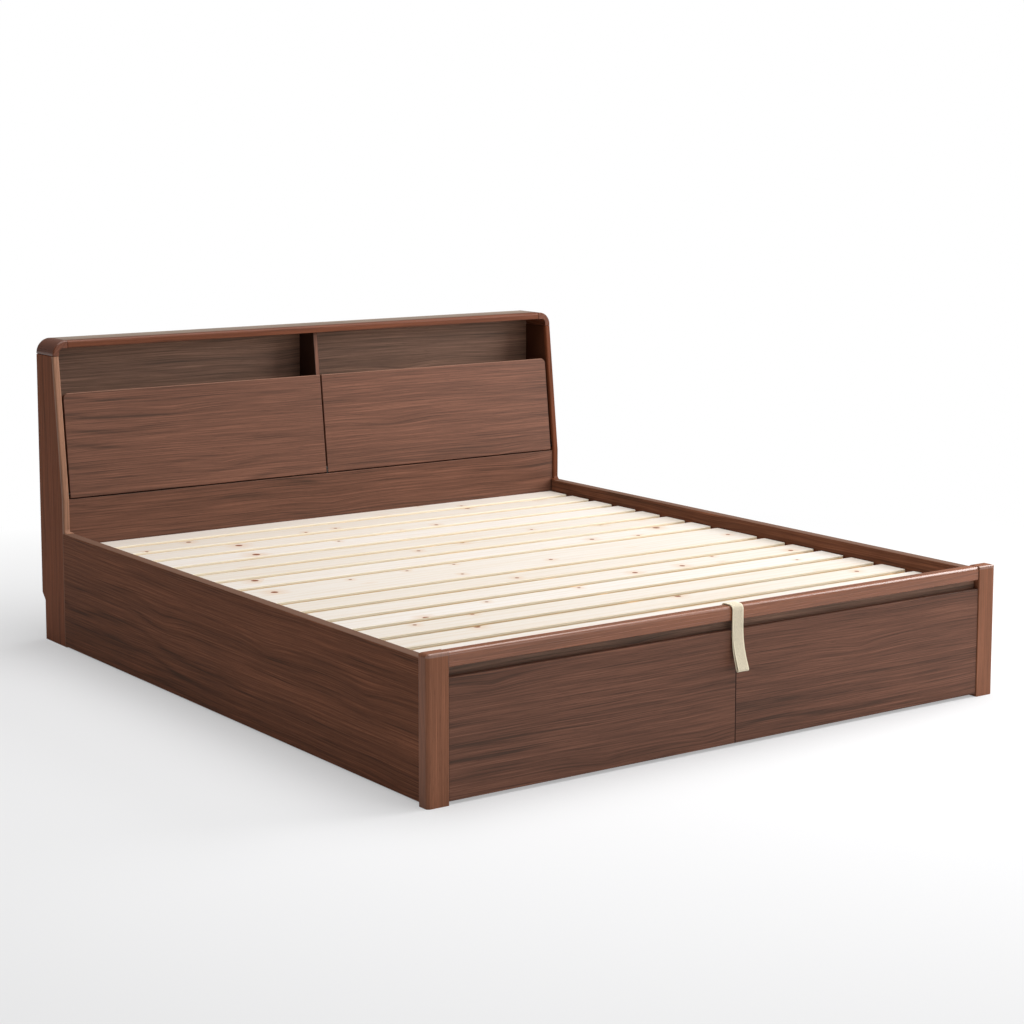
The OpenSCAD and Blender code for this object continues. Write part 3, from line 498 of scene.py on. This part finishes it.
def faced_board(name, tone):
    """Matt melamine-faced board with a faint linen print."""
    graph = Graph(name)
    place = graph.place()
    fleck = graph.noise(place, scale=420, detail=3.0, roughness=0.6)
    cloud = graph.noise(place, scale=6)
    level = graph.times(fleck, 0.6, plus=graph.times(cloud, 0.4))
    return graph.surface(
        Base_Color=graph.ramp(level, (0.35, shade(tone, 0.88)), (0.65, shade(tone, 1.1))),
        Roughness=graph.vary(cloud, 0.5, 0.6),
        Specular_IOR_Level=0.35,
        Normal=graph.bump(fleck, 0.00006, 0.5),
    )


def powder_coat(name, tone):
    """Black powder coat with a fine orange peel."""
    graph = Graph(name)
    place = graph.place()
    peel = graph.noise(place, scale=900)
    dust = graph.noise(place, scale=14, detail=4.0, roughness=0.6)
    return graph.surface(
        Base_Color=graph.ramp(dust, (0.35, shade(tone, 0.8)), (0.7, shade(tone, 1.5))),
        Roughness=graph.vary(dust, 0.38, 0.5),
        Normal=graph.bump(peel, 0.0001, 0.4),
    )


def metal(name, tone, roughness, speckle=0.0):
    """Bare or plated steel. The speckle is the cloudy crystal of zinc."""
    graph = Graph(name)
    place = graph.place()
    crystal = graph.node("TexVoronoi", {"Vector": place, "Scale": 260.0}).outputs["Color"]
    cloud = graph.noise(place, scale=35, detail=4.0, roughness=0.6)
    tint = graph.node("SeparateColor", {"Color": crystal}).outputs[0]
    level = graph.times(tint, speckle, plus=graph.times(cloud, 1 - speckle))
    return graph.surface(
        Base_Color=graph.ramp(level, (0.25, shade(tone, 0.86)), (0.75, shade(tone, 1.08))),
        Metallic=1.0,
        Roughness=graph.vary(cloud, roughness * 0.8, roughness * 1.25),
        Normal=graph.bump(cloud, 0.00003, 0.3),
    )


def rubber(name):
    """Matt black rubber or plastic of caps and seals."""
    graph = Graph(name)
    grain = graph.noise(graph.place(), scale=1100)
    return graph.surface(
        Base_Color=graph.ramp(grain, (0.3, (0.018, 0.018, 0.02)), (0.7, (0.035, 0.035, 0.038))),
        Roughness=graph.vary(grain, 0.6, 0.75),
        Normal=graph.bump(grain, 0.00008, 0.5),
    )


# Spacing of the webbing's yarns each way, and half the width of a chevron
WARP = 0.0011
WEFT = 0.0015
CHEVRON = 0.005


def webbing(name, tone, width, run):
    """Flat woven webbing: chevron ribs along the piece's own UV map, with paler selvedges."""
    graph = Graph(name)
    parts = graph.split(graph.node("TexCoord").outputs["UV"])
    sideways = graph.times(parts["X"], width)
    lengthways = graph.times(parts["Y"], run)
    zigzag = graph.math("ADD", lengthways, graph.math("PINGPONG", sideways, CHEVRON))
    warp = graph.math("SINE", graph.times(sideways, math.tau / WARP))
    weft = graph.math("SINE", graph.times(zigzag, math.tau / WEFT))
    weave = graph.times(graph.times(warp, weft), 0.5, plus=0.5)
    off_centre = graph.math("ABSOLUTE", graph.math("SUBTRACT", parts["X"], 0.5))
    selvedge = graph.remap(off_centre, 0.42, 0.455)
    fuzz = graph.streaks(sideways, 900, lengthways, 160, detail=3.0)
    level = graph.times(weave, 0.45, plus=graph.times(fuzz, 0.55))
    cloth = graph.ramp(level, (0.25, shade(tone, 0.66)), (0.5, shade(tone, 1.0)), (0.8, shade(tone, 1.22)))
    return graph.surface(
        Base_Color=graph.blend(graph.times(selvedge, 0.75), cloth, shade(tone, 1.5)),
        Roughness=graph.vary(fuzz, 0.78, 0.92),
        Specular_IOR_Level=0.2,
        Sheen_Weight=0.25,
        Normal=graph.bump(weave, 0.00025, 0.7),
    )


# -------------------- modelling helpers


def only(*pieces):
    """Select these pieces and nothing else, the last one active."""
    if bpy.context.mode != "OBJECT":
        bpy.ops.object.mode_set(mode="OBJECT")
    bpy.ops.object.select_all(action="DESELECT")
    for piece in pieces:
        piece.select_set(True)
        bpy.context.view_layer.objects.active = piece


def added(operator, name=None, **options):
    """The object that one of Blender's operators adds, selected alone."""
    only()
    operator(**options)
    piece = bpy.context.active_object
    if name:
        piece.name = name
    return piece


def settle(piece):
    """Move the piece's place into its mesh, so that its object sits at the origin."""
    only(piece)
    bpy.ops.object.transform_apply(location=True, rotation=True, scale=True)


def apply_modifiers(piece):
    only(piece)
    for modifier in list(piece.modifiers):
        bpy.ops.object.modifier_apply(modifier=modifier.name)


def bevel(piece, width, segments, degrees=35):
    modifier = piece.modifiers.new("edges", "BEVEL")
    modifier.width = width
    modifier.segments = segments
    modifier.angle_limit = math.radians(degrees)
    modifier.limit_method = "ANGLE"
    apply_modifiers(piece)


def smooth(piece, degrees):
    only(piece)
    bpy.ops.object.shade_smooth_by_angle(angle=math.radians(degrees))


def join(pieces, name):
    only(*pieces)
    bpy.ops.object.join()
    joined = bpy.context.view_layer.objects.active
    joined.name = name
    joined.data.name = name
    return joined


def copy_to(piece, matrix):
    """A copy with its own mesh, moved by the matrix, with its place in its mesh."""
    twin = piece.copy()
    twin.data = piece.data.copy()
    bpy.context.scene.collection.objects.link(twin)
    twin.matrix_world = matrix @ piece.matrix_world
    settle(twin)
    return twin


def dress(piece, material, body):
    """Give a new piece its finish and let it ride on its body."""
    piece.data.materials.clear()
    piece.data.materials.append(material)
    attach(piece, body)


def paint(material, *nodes):
    """Give frame nodes a material."""
    for node in nodes:
        data = frame["nodes"][node].data
        data.materials.clear()
        data.materials.append(material)


def low(node):
    return Vector(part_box(node)[0])


def high(node):
    return Vector(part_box(node)[1])


def islands(node):
    """Lowest and highest corner of each separate solid in a frame node."""
    mesh = bmesh.new()
    mesh.from_mesh(frame["nodes"][node].data)
    bmesh.ops.remove_doubles(mesh, verts=mesh.verts, dist=1e-6)
    waiting = set(mesh.verts)
    boxes = []
    while waiting:
        stack = [waiting.pop()]
        found = list(stack)
        while stack:
            for edge in stack.pop().link_edges:
                for vert in edge.verts:
                    if vert in waiting:
                        waiting.remove(vert)
                        stack.append(vert)
                        found.append(vert)
        axes = list(zip(*(vert.co for vert in found)))
        boxes.append((Vector([min(axis) for axis in axes]), Vector([max(axis) for axis in axes])))
    mesh.free()
    return sorted(boxes, key=lambda box: tuple(round(value, 4) for value in box[0]))


def upright_turn(direction):
    """The turn that takes the Z axis to a direction."""
    return direction.to_track_quat("Z", "Y").to_matrix().to_4x4()


# -------------------- operators


class BED_OT_walnut(bpy.types.Operator):
    """Finish the posts, panels, doors and headboard in walnut"""

    bl_idname = "bed.walnut"
    bl_label = "Walnut"

    def board(self, node, material, tone, grain, seed, finish="veneer", **edges):
        paint(walnut(material, tone, grain, seed, finish, node, **edges), node)

    def pair(self, index, side):
        """The boards that the bed has on its left and on its right."""
        wood, _, _ = settings()
        # The two strips' tones differ as painted light: the left one is partly a painted highlight, the right
        # one is painted shade
        tone = (wood.strip, wood.block)[index]
        self.board(f"foot_post_{side}", f"post_{side}", wood.solid, "Z", 3.1 + index, "post", rubbed=True)
        self.board(f"headboard_strip_{side}", f"strip_{side}", tone, "Z", 5.3 + index, "strip")
        self.board(f"headboard_corner_{side}", f"corner_{side}", wood.block, "Y", 7.7 + index, "block")
        panel, door, end = f"foot_panel_{side}", f"door_{side}", f"headboard_side_{side}"
        self.board(panel, f"{panel}_veneer", wood.front, "X", 1.9 + 2.3 * index, edge="banded")
        # The doors' pale top edge is a painted highlight
        self.board(door, f"{door}_veneer", wood.front, "X", 12.4 + 3.7 * index, edge="painted_top_highlight")
        panel = f"side_panel_{side}"
        self.board(panel, f"{panel}_veneer", wood.side, "Y", 21.7 + index, "side", edge="greyer")
        # The headboard ends get painted shade on their inner faces, in the niche
        self.board(end, f"end_{side}_veneer", wood.end, "Z", 25.9 + index, "end", edge="lined")

    def execute(self, context):
        wood, _, _ = settings()
        for index, side in enumerate(("left", "right")):
            self.pair(index, side)
        self.board("foot_rail", "rail_wood", wood.rail, "X", 9.2, "rail", edge="banded", rubbed=True)
        self.board("headboard_lip", "lip_wood", wood.block, "X", 10.6, "lip")
        self.board("headboard_front_panel", "fixed_panel_veneer", wood.front, "X", 31.2)
        # The upper divider's dark ends are painted shade on its cheeks
        self.board("headboard_divider_upper", "divider_veneer", wood.front, "Z", 33.4, edge="banded")
        self.board("headboard_top", "top_veneer", wood.top, "X", 35.8, "top")
        inside = walnut("inside_veneer", wood.inside, "X", 38.1, "inside")
        paint(inside, "headboard_back_panel", "headboard_shelf", "headboard_floor", "foot_inner_board")
        self.board("headboard_divider_lower", "lower_divider_veneer", wood.inside, "Z", 41.5, "inside")
        return {"FINISHED"}


class BED_OT_pine(bpy.types.Operator):
    """Finish the slats in pine, and the framing in softwood and faced board"""

    bl_idname = "bed.pine"
    bl_label = "Pine and softwood"

    def execute(self, context):
        wood, _, _ = settings()
        for node in ("slats_foot", "slats_head"):
            (first, end), (second, _), *_ = islands(node)
            pitch = second.y - first.y
            start = first.y - (second.y - end.y) / 2
            paint(pine(f"{node}_pine", wood.pine, wood.knot, start, pitch, first.z, end.z), node)
        lengthways = softwood("softwood_lengthways", wood.softwood, "Y")
        paint(lengthways, "side_ledger_left", "side_ledger_right")
        paint(lengthways, "slat_battens_left", "slat_battens_centre", "slat_battens_right")
        paint(softwood("softwood_crossways", wood.softwood, "X"), "floor_bearers")
        board = faced_board("grey_board", (0.4, 0.36, 0.32))
        paint(board, "storage_floor_left", "storage_floor_right", "centre_board", "headboard_rear_rail")
        return {"FINISHED"}


class BED_OT_steel(bpy.types.Operator):
    """Finish the lift frame, struts and brackets"""

    bl_idname = "bed.steel"
    bl_label = "Steel"

    def execute(self, context):
        black = powder_coat("black_powder_coat", (0.022, 0.022, 0.025))
        zinc = metal("zinc_plate", (0.56, 0.57, 0.58), 0.34, 0.6)
        chrome = metal("hard_chrome", (0.72, 0.73, 0.75), 0.1)
        for name in ("left", "right", "foot", "head", "centre", "middle"):
            paint(black, f"lift_tube_{name}")
        for side in ("left", "right"):
            paint(black, f"lift_arm_{side}", f"lift_base_{side}", f"strut_cylinder_{side}")
            paint(chrome, f"strut_rod_{side}")
        paint(zinc, "corner_brackets", "strap_clamp")
        paint(metal("black_oxide", (0.05, 0.048, 0.045), 0.45), "door_pivots")
        return {"FINISHED"}


def route(corners, bends, steps=8):
    """Points along straight runs whose corners are rounded by quadratic curves."""
    points = [corners[0]]
    for before, corner, after, reach in zip(corners, corners[1:], corners[2:], bends):
        start = corner + (before - corner).normalized() * reach
        end = corner + (after - corner).normalized() * reach
        for step in range(steps + 1):
            t = step / steps
            points.append(start * (1 - t) ** 2 + corner * 2 * t * (1 - t) + end * t**2)
    points.append(corners[-1])
    return points


def travels(points):
    """Distance along the route at each of its points."""
    total = [0.0]
    for before, after in zip(points, points[1:]):
        total.append(total[-1] + (after - before).length)
    return total


def resampled(points, count):
    """The same route at even steps."""
    total = travels(points)
    even = []
    place = 0
    for step in range(count + 1):
        goal = total[-1] * step / count
        while place < len(points) - 2 and total[place + 1] < goal:
            place += 1
        share = (goal - total[place]) / (total[place + 1] - total[place])
        even.append(points[place].lerp(points[place + 1], share))
    return even


class BED_OT_pull_strap(bpy.types.Operator):
    """Fold the webbing over the foot rail and down its front"""

    bl_idname = "bed.pull_strap"
    bl_label = "Pull strap"

    rail_clearance = 0.003
    top_clearance = 0.0012
    half_stack = 0.00165
    side_clearance = 0.0002
    bends = (0.008, 0.008, 0.012, 0.014, 0.045)
    straight_share = 0.6
    steps = 110
    columns = 8
    edge_round = 0.0004

    # The layers lie close up to this share of the route, then part towards the fold
    parting = 0.62
    layer_gap = 0.0001
    fold_steps = 10

    # The back layer hangs a little to one side: most of it near the fold, nothing further up
    slip = 0.0022
    slip_full = 0.06
    slip_end = 0.2
    crown = 0.00035

    def centreline(self, strap):
        """The line between the two layers in the YZ plane, from the clamp to the fold."""
        rail_low, rail_high = low("foot_rail"), high("foot_rail")
        tube_low, tube_high = low("lift_tube_foot"), high("lift_tube_foot")
        slat_low = low("slats_foot")
        stand_off = self.half_stack + self.side_clearance
        tube_y = tube_low.y - stand_off
        rise_y = slat_low.y - stand_off
        fall_y = rail_low.y - self.rail_clearance - self.half_stack
        over_z = rail_high.z + self.top_clearance + self.half_stack
        corners = [
            Vector((tube_y, tube_low.z + 0.004)),
            Vector((tube_y, tube_high.z + 0.002)),
            Vector((rise_y, slat_low.z - 0.004)),
            Vector((rise_y, over_z)),
            Vector((fall_y, over_z)),
            Vector((fall_y, rail_high.z - self.straight_share * strap.drop)),
            Vector((fall_y - strap.kick, rail_high.z - strap.drop + strap.fold)),
        ]
        return resampled(route(corners, self.bends), self.steps)

    def layers(self, strap):
        """Middle line of the webbing: down the front layer, round the fold and up the back one."""
        line = self.centreline(strap)
        total = travels(line)
        near = strap.thickness / 2 + self.layer_gap
        spread = strap.fold - strap.thickness / 2 - near
        front, back = [], []
        for place, point in enumerate(line):
            ahead = line[min(place + 1, len(line) - 1)] - line[max(place - 1, 0)]
            across = Vector((-ahead.y, ahead.x)).normalized()
            share = max(0.0, (total[place] / total[-1] - self.parting) / (1 - self.parting))
            apart = near + spread * share**2
            front.append(point - across * apart)
            back.append(point + across * apart)
        end = (line[-1] - line[-2]).normalized()
        side = Vector((-end.y, end.x))
        radius = near + spread
        turns = (math.pi * step / self.fold_steps for step in range(1, self.fold_steps))
        cap = [line[-1] + radius * (end * math.sin(turn) - side * math.cos(turn)) for turn in turns]
        return front + cap + back[::-1]

    def sideways(self, past_fold):
        """How far the webbing is shifted at a distance past the fold."""
        rising = max(0.0, min(1.0, past_fold / self.slip_full))
        return self.slip * rising * max(0.0, 1 - past_fold / self.slip_end)

    def execute(self, context):
        _, strap, _ = settings()
        middle = self.layers(strap)
        total = travels(middle)
        rows = len(middle) - 1
        grid = {"x_subdivisions": self.columns, "y_subdivisions": rows, "size": 2}
        piece = added(bpy.ops.mesh.primitive_grid_add, "pull_strap", **grid)
        for vert in piece.data.vertices:
            row = round((vert.co.y + 1) / 2 * rows)
            across = vert.co.x
            ahead = (middle[min(row + 1, rows)] - middle[max(row - 1, 0)]).normalized()
            outward = Vector((ahead.y, -ahead.x))
            point = middle[row] - outward * (self.crown * (1 - across**2))
            shift = self.sideways(total[row] - total[-1] / 2)
            vert.co = Vector((across * strap.width / 2 - shift, *point))
        solid = piece.modifiers.new("layer", "SOLIDIFY")
        solid.thickness = strap.thickness
        solid.offset = 0
        solid.use_even_offset = True
        apply_modifiers(piece)
        bevel(piece, self.edge_round, 2, degrees=60)
        smooth(piece, 40)
        dress(piece, webbing("strap_webbing", strap.webbing, strap.width, total[-1]), "platform")
        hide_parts("strap")
        return {"FINISHED"}


class BED_OT_bolts(bpy.types.Operator):
    """Put low button-head bolts with hex sockets where the frame's plain ones are"""

    bl_idname = "bed.bolts"
    bl_label = "Bolts"

    head_height = 0.0016

    # Shares of the head's radius or height
    socket_radius = 0.42
    socket_rise = 0.95
    head_round = 0.3
    head_to_shank = 1.9
    overlap = 0.0001

    def cylinder(self, vertices, radius, depth, z):
        options = {"vertices": vertices, "radius": radius, "depth": depth, "location": (0, 0, z)}
        piece = added(bpy.ops.mesh.primitive_cylinder_add, **options)
        settle(piece)
        return piece

    def button_head(self, radius, shank):
        """A bolt whose head's underside lies in the XY plane, with a hex socket."""
        height = self.head_height
        head = self.cylinder(40, radius, height, height / 2)
        socket = self.cylinder(6, radius * self.socket_radius, height, height * self.socket_rise)
        cut = head.modifiers.new("socket", "BOOLEAN")
        cut.object = socket
        cut.solver = "EXACT"
        apply_modifiers(head)
        bpy.data.objects.remove(socket)
        bevel(head, height * self.head_round, 3)
        body = self.cylinder(24, radius / self.head_to_shank, shank, -shank / 2 + self.overlap)
        return join([head, body], "bolt")

    def place(self, node, body, slot, material, sign):
        """Copies of one bolt at each solid of the node: heads face out for 1 and in for -1."""
        boxes = islands(node)
        size = boxes[0][1] - boxes[0][0]
        model = self.button_head(max(size) / 2, min(size) - self.head_height)
        copies = []
        for box_low, box_high in boxes:
            middle = (box_low + box_high) / 2
            extent = box_high - box_low
            axis = min(range(3), key=lambda k: extent[k])
            facing = Vector((0, 0, 0))
            facing[axis] = sign * math.copysign(1, middle[axis])
            outer = box_high[axis] if facing[axis] > 0 else box_low[axis]
            seat = middle.copy()
            seat[axis] = outer - facing[axis] * self.head_height
            copies.append(copy_to(model, Matrix.Translation(seat) @ upright_turn(facing)))
        bpy.data.objects.remove(model)
        made = join(copies, node + "_socketed")
        smooth(made, 30)
        dress(made, material, body)
        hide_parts(node)

    def execute(self, context):
        zinc = metal("bolt_zinc", (0.6, 0.6, 0.61), 0.28, 0.3)
        black = metal("bolt_black", (0.09, 0.09, 0.095), 0.4)
        self.place("bracket_bolts", "bed_frame", "bolt_steel", black, -1)
        self.place("lift_base_bolts", "bed_frame", "zinc", zinc, -1)
        self.place("lift_arm_bolts", "platform", "zinc", zinc, 1)
        return {"FINISHED"}


class BED_OT_welds(bpy.types.Operator):
    """Run weld beads round the ends of the cross tubes, and cap the side tubes"""

    bl_idname = "bed.welds"
    bl_label = "Welds and tube caps"

    bead = 0.0016
    bead_corner = 0.003

    tube_wall = 0.002
    cap_play = 0.0004
    cap_depth = 0.012
    cap_rim = 0.003
    cap_hollow = 0.004
    cap_edge = 0.0006

    # Each cross tube, with the tube whose reach across the bed is the place of its beads
    meetings = (("foot", "foot"), ("head", "head"), ("middle", "middle"), ("middle", "centre"))

    def bead_round(self, centre, width, height, along):
        """A bead up both sides and over the top of a tube that runs along X or Y."""
        loop = added(bpy.ops.mesh.primitive_plane_add, size=1, location=(0, 0, 0))
        bpy.ops.object.mode_set(mode="EDIT")
        bpy.ops.mesh.delete(type="ONLY_FACE")
        mesh = bmesh.from_edit_mesh(loop.data)
        foot = [edge for edge in mesh.edges if all(vert.co.y < 0 for vert in edge.verts)]
        bmesh.ops.delete(mesh, geom=foot, context="EDGES")
        bpy.ops.mesh.select_all(action="SELECT")
        bmesh.update_edit_mesh(loop.data)
        bpy.ops.object.mode_set(mode="OBJECT")
        loop.scale = (width, height, 1)
        settle(loop)
        bpy.ops.object.mode_set(mode="EDIT")
        bpy.ops.mesh.select_all(action="SELECT")
        bpy.ops.mesh.bevel(offset=self.bead_corner, segments=4, affect="VERTICES")
        bpy.ops.mesh.subdivide(number_cuts=3)
        bpy.ops.object.mode_set(mode="OBJECT")
        bpy.ops.object.convert(target="CURVE")
        run = bpy.context.active_object
        run.data.bevel_depth = self.bead
        run.data.bevel_resolution = 2
        run.data.use_fill_caps = True
        bpy.ops.object.convert(target="MESH")
        upright = Matrix.Rotation(math.pi / 2, 4, "X")
        if along == "X":
            upright = Matrix.Rotation(math.pi / 2, 4, "Z") @ upright
        made = bpy.context.active_object
        made.matrix_world = Matrix.Translation(centre) @ upright
        settle(made)
        return made

    def tube_cap(self, node, end):
        """A plug with a hollow face in the open end of a side tube."""
        tube_low, tube_high = low(node), high(node)
        size = tube_high - tube_low
        centre = (tube_low + tube_high) / 2
        centre.y = (tube_low.y if end < 0 else tube_high.y) - end * self.cap_depth / 2
        plug = added(bpy.ops.mesh.primitive_cube_add, size=1, location=centre)
        less = 2 * self.tube_wall + self.cap_play
        plug.scale = (size.x - less, self.cap_depth, size.z - less)
        settle(plug)
        bpy.ops.object.mode_set(mode="EDIT")
        mesh = bmesh.from_edit_mesh(plug.data)
        for face in mesh.faces:
            face.select = face.normal.y * end > 0.9
        bmesh.update_edit_mesh(plug.data)
        bpy.ops.mesh.inset(thickness=self.cap_rim)
        inwards = {"value": (0, -end * self.cap_hollow, 0)}
        bpy.ops.mesh.extrude_region_move(TRANSFORM_OT_translate=inwards)
        bpy.ops.object.mode_set(mode="OBJECT")
        bevel(plug, self.cap_edge, 2)
        return plug

    def execute(self, context):
        names = ("foot", "head", "middle", "centre")
        tubes = {name: (low(f"lift_tube_{name}"), high(f"lift_tube_{name}")) for name in names}
        foot_low, foot_high = tubes["foot"]
        height = foot_high.z - foot_low.z
        z = (foot_low.z + foot_high.z) / 2
        beads = []
        for side in (-1, 1):
            for cross, reach in self.meetings:
                cross_low, cross_high = tubes[cross]
                centre = (side * tubes[reach][1].x, (cross_low.y + cross_high.y) / 2, z)
                beads.append(self.bead_round(centre, cross_high.y - cross_low.y, height, "X"))
        centre_low, centre_high = tubes["centre"]
        for y in (centre_low.y, centre_high.y):
            beads.append(self.bead_round((0, y, z), centre_high.x - centre_low.x, height, "Y"))
        made = join(beads, "lift_frame_welds")
        smooth(made, 60)
        dress(made, powder_coat("weld_coat", (0.03, 0.03, 0.033)), "platform")
        caps = [self.tube_cap(f"lift_tube_{side}", end) for side in ("left", "right") for end in (-1, 1)]
        made = join(caps, "lift_tube_caps")
        smooth(made, 30)
        dress(made, rubber("cap_plastic"), "platform")
        return {"FINISHED"}


class BED_OT_strut_seals(bpy.types.Operator):
    """Put a rubber wiper on the mouth of each gas strut"""

    bl_idname = "bed.strut_seals"
    bl_label = "Strut seals"

    ring_radius = 0.0062
    ring_thickness = 0.0016
    stand = 0.0004

    def execute(self, context):
        joints = {joint["name"]: joint for joint in frame["joints"]}
        ring = {"major_radius": self.ring_radius, "minor_radius": self.ring_thickness}
        for side in ("left", "right"):
            foot = Vector(joints[f"strut_foot_{side}"]["pos_m"])
            head = Vector(joints[f"strut_head_{side}"]["pos_m"])
            along = (head - foot).normalized()
            solid = frame["nodes"][f"strut_cylinder_{side}"].data
            mouth = max((vert.co - foot).dot(along) for vert in solid.vertices)
            seat = Matrix.Translation(foot + along * (mouth + self.stand))
            lip = added(bpy.ops.mesh.primitive_torus_add, major_segments=40, minor_segments=12, **ring)
            lip.matrix_world = seat @ upright_turn(along)
            settle(lip)
            lip.name = f"strut_wiper_{side}"
            smooth(lip, 35)
            dress(lip, rubber(f"wiper_rubber_{side}"), f"strut_body_{side}")
        return {"FINISHED"}


class BED_OT_studio(bpy.types.Operator):
    """Build the floor, the white surround, the softboxes and the camera"""

    bl_idname = "bed.studio"
    bl_label = "Studio"

    floor_tone = (0.79, 0.79, 0.795, 1)

    # The floor glows for the eye, less inside a pool round this point
    pool_centre = (-0.9, -1.6, 0)
    pool_inner = 2.6
    pool_outer = 4.6
    pool_glow = 0.44
    pool_tone = (0.87, 0.87, 0.875)

    # Softboxes: name, size, place and aim
    softboxes = {
        "key": ("softbox_right", (3.0, 2.4), (3.8, -1.4, 2.3), (0.2, 0.4, 0.4)),
        "front": ("softbox_front", (4.0, 2.5), (1.6, -6.0, 2.4), (0, 0, 0.3)),
        "top": ("softbox_top", (5.4, 4.5), (0.6, -0.3, 4.6), (0.3, 0, 0)),
    }

    # The camera stands to the left of the foot end, at this place from the left post's front corner
    camera_offset = (-2.837, -4.309, 1.593)
    camera_yaw = 35.1908
    camera_pitch = 7.2436
    camera_lens = 80.05
    camera_shift = (0.0136, -0.0977)

    def floor(self):
        circle = {"vertices": 96, "radius": 30, "fill_type": "NGON", "location": (0, 0, 0)}
        floor = added(bpy.ops.mesh.primitive_circle_add, "studio_floor", **circle)
        graph = Graph("studio_floor_paint")
        away = graph.vector_math("DISTANCE", graph.place(), self.pool_centre)["Value"]
        far = graph.remap(away, self.pool_inner, self.pool_outer)
        glow = graph.ramp(far, (0.0, self.pool_tone), (1.0, (1, 1, 1)))
        strength = graph.times(far, 1 - self.pool_glow, plus=self.pool_glow)
        share = graph.times(graph.seen_by("Camera", "Glossy", "Transmission"), strength)
        graph.overlay(share, graph.node("Emission", {"Color": glow, "Strength": 1.0}))
        white = graph.surface(Base_Color=self.floor_tone, Roughness=0.9, Specular_IOR_Level=0.1)
        floor.data.materials.append(white)

    def surround(self, ambient):
        """A surround that gives little light but looks white."""
        white = {"Color": (1, 1, 1, 1)}
        graph = Graph("studio_surround", "worlds")
        bpy.context.scene.world = graph.surface(Strength=ambient, **white)
        plain = graph.node("Background", {"Strength": 1.0, **white})
        graph.overlay(graph.seen_by("Camera", "Transmission"), plain)

    def softbox(self, name, size, place, aim, energy):
        light = added(bpy.ops.object.light_add, name, type="AREA", location=place)
        light.data.energy = energy
        light.visible_camera = False
        light.data.shape = "RECTANGLE"
        light.data.size, light.data.size_y = size
        light.rotation_euler = (Vector(aim) - Vector(place)).to_track_quat("-Z", "Y").to_euler()

    def camera(self):
        place = low("foot_post_left") + Vector(self.camera_offset)
        camera = added(bpy.ops.object.camera_add, "studio_camera", location=place)
        camera.rotation_euler = (math.radians(90 - self.camera_pitch), 0, math.radians(-self.camera_yaw))
        camera.data.lens = self.camera_lens
        camera.data.sensor_width = 36
        camera.data.shift_x, camera.data.shift_y = self.camera_shift
        bpy.context.scene.camera = camera

    def execute(self, context):
        _, _, studio = settings()
        self.floor()
        self.surround(studio.ambient)
        for key, softbox in self.softboxes.items():
            self.softbox(*softbox, getattr(studio, key))
        self.camera()
        context.scene.view_settings.view_transform = "Standard"
        return {"FINISHED"}


class BED_PT_panel(bpy.types.Panel):
    """Sizes, colours and steps of the bed"""

    bl_idname = "BED_PT_panel"
    bl_label = "Platform Bed"
    bl_space_type = "VIEW_3D"
    bl_region_type = "UI"
    bl_category = "Platform Bed"

    def draw(self, context):
        for group in settings():
            box = self.layout.box()
            for key in group.__annotations__:
                box.prop(group, key)
        for operator in OPERATORS:
            self.layout.operator(operator.bl_idname)


OPERATORS = (
    BED_OT_studio,
    BED_OT_walnut,
    BED_OT_pine,
    BED_OT_steel,
    BED_OT_pull_strap,
    BED_OT_bolts,
    BED_OT_welds,
    BED_OT_strut_seals,
)
CLASSES = (BedWoodSettings, BedStrapSettings, BedStudioSettings, *OPERATORS, BED_PT_panel)


def register():
    for cls in CLASSES:
        bpy.utils.register_class(cls)
    bpy.types.Scene.bed_wood = PointerProperty(type=BedWoodSettings)
    bpy.types.Scene.bed_strap = PointerProperty(type=BedStrapSettings)
    bpy.types.Scene.bed_studio = PointerProperty(type=BedStudioSettings)


def unregister():
    del bpy.types.Scene.bed_studio
    del bpy.types.Scene.bed_strap
    del bpy.types.Scene.bed_wood
    for cls in reversed(CLASSES):
        bpy.utils.unregister_class(cls)


def main():
    register()
    bpy.ops.bed.studio()
    bpy.ops.bed.walnut()
    bpy.ops.bed.pine()
    bpy.ops.bed.steel()
    bpy.ops.bed.pull_strap()
    bpy.ops.bed.bolts()
    bpy.ops.bed.welds()
    bpy.ops.bed.strut_seals()


if __name__ == "__main__":
    main()
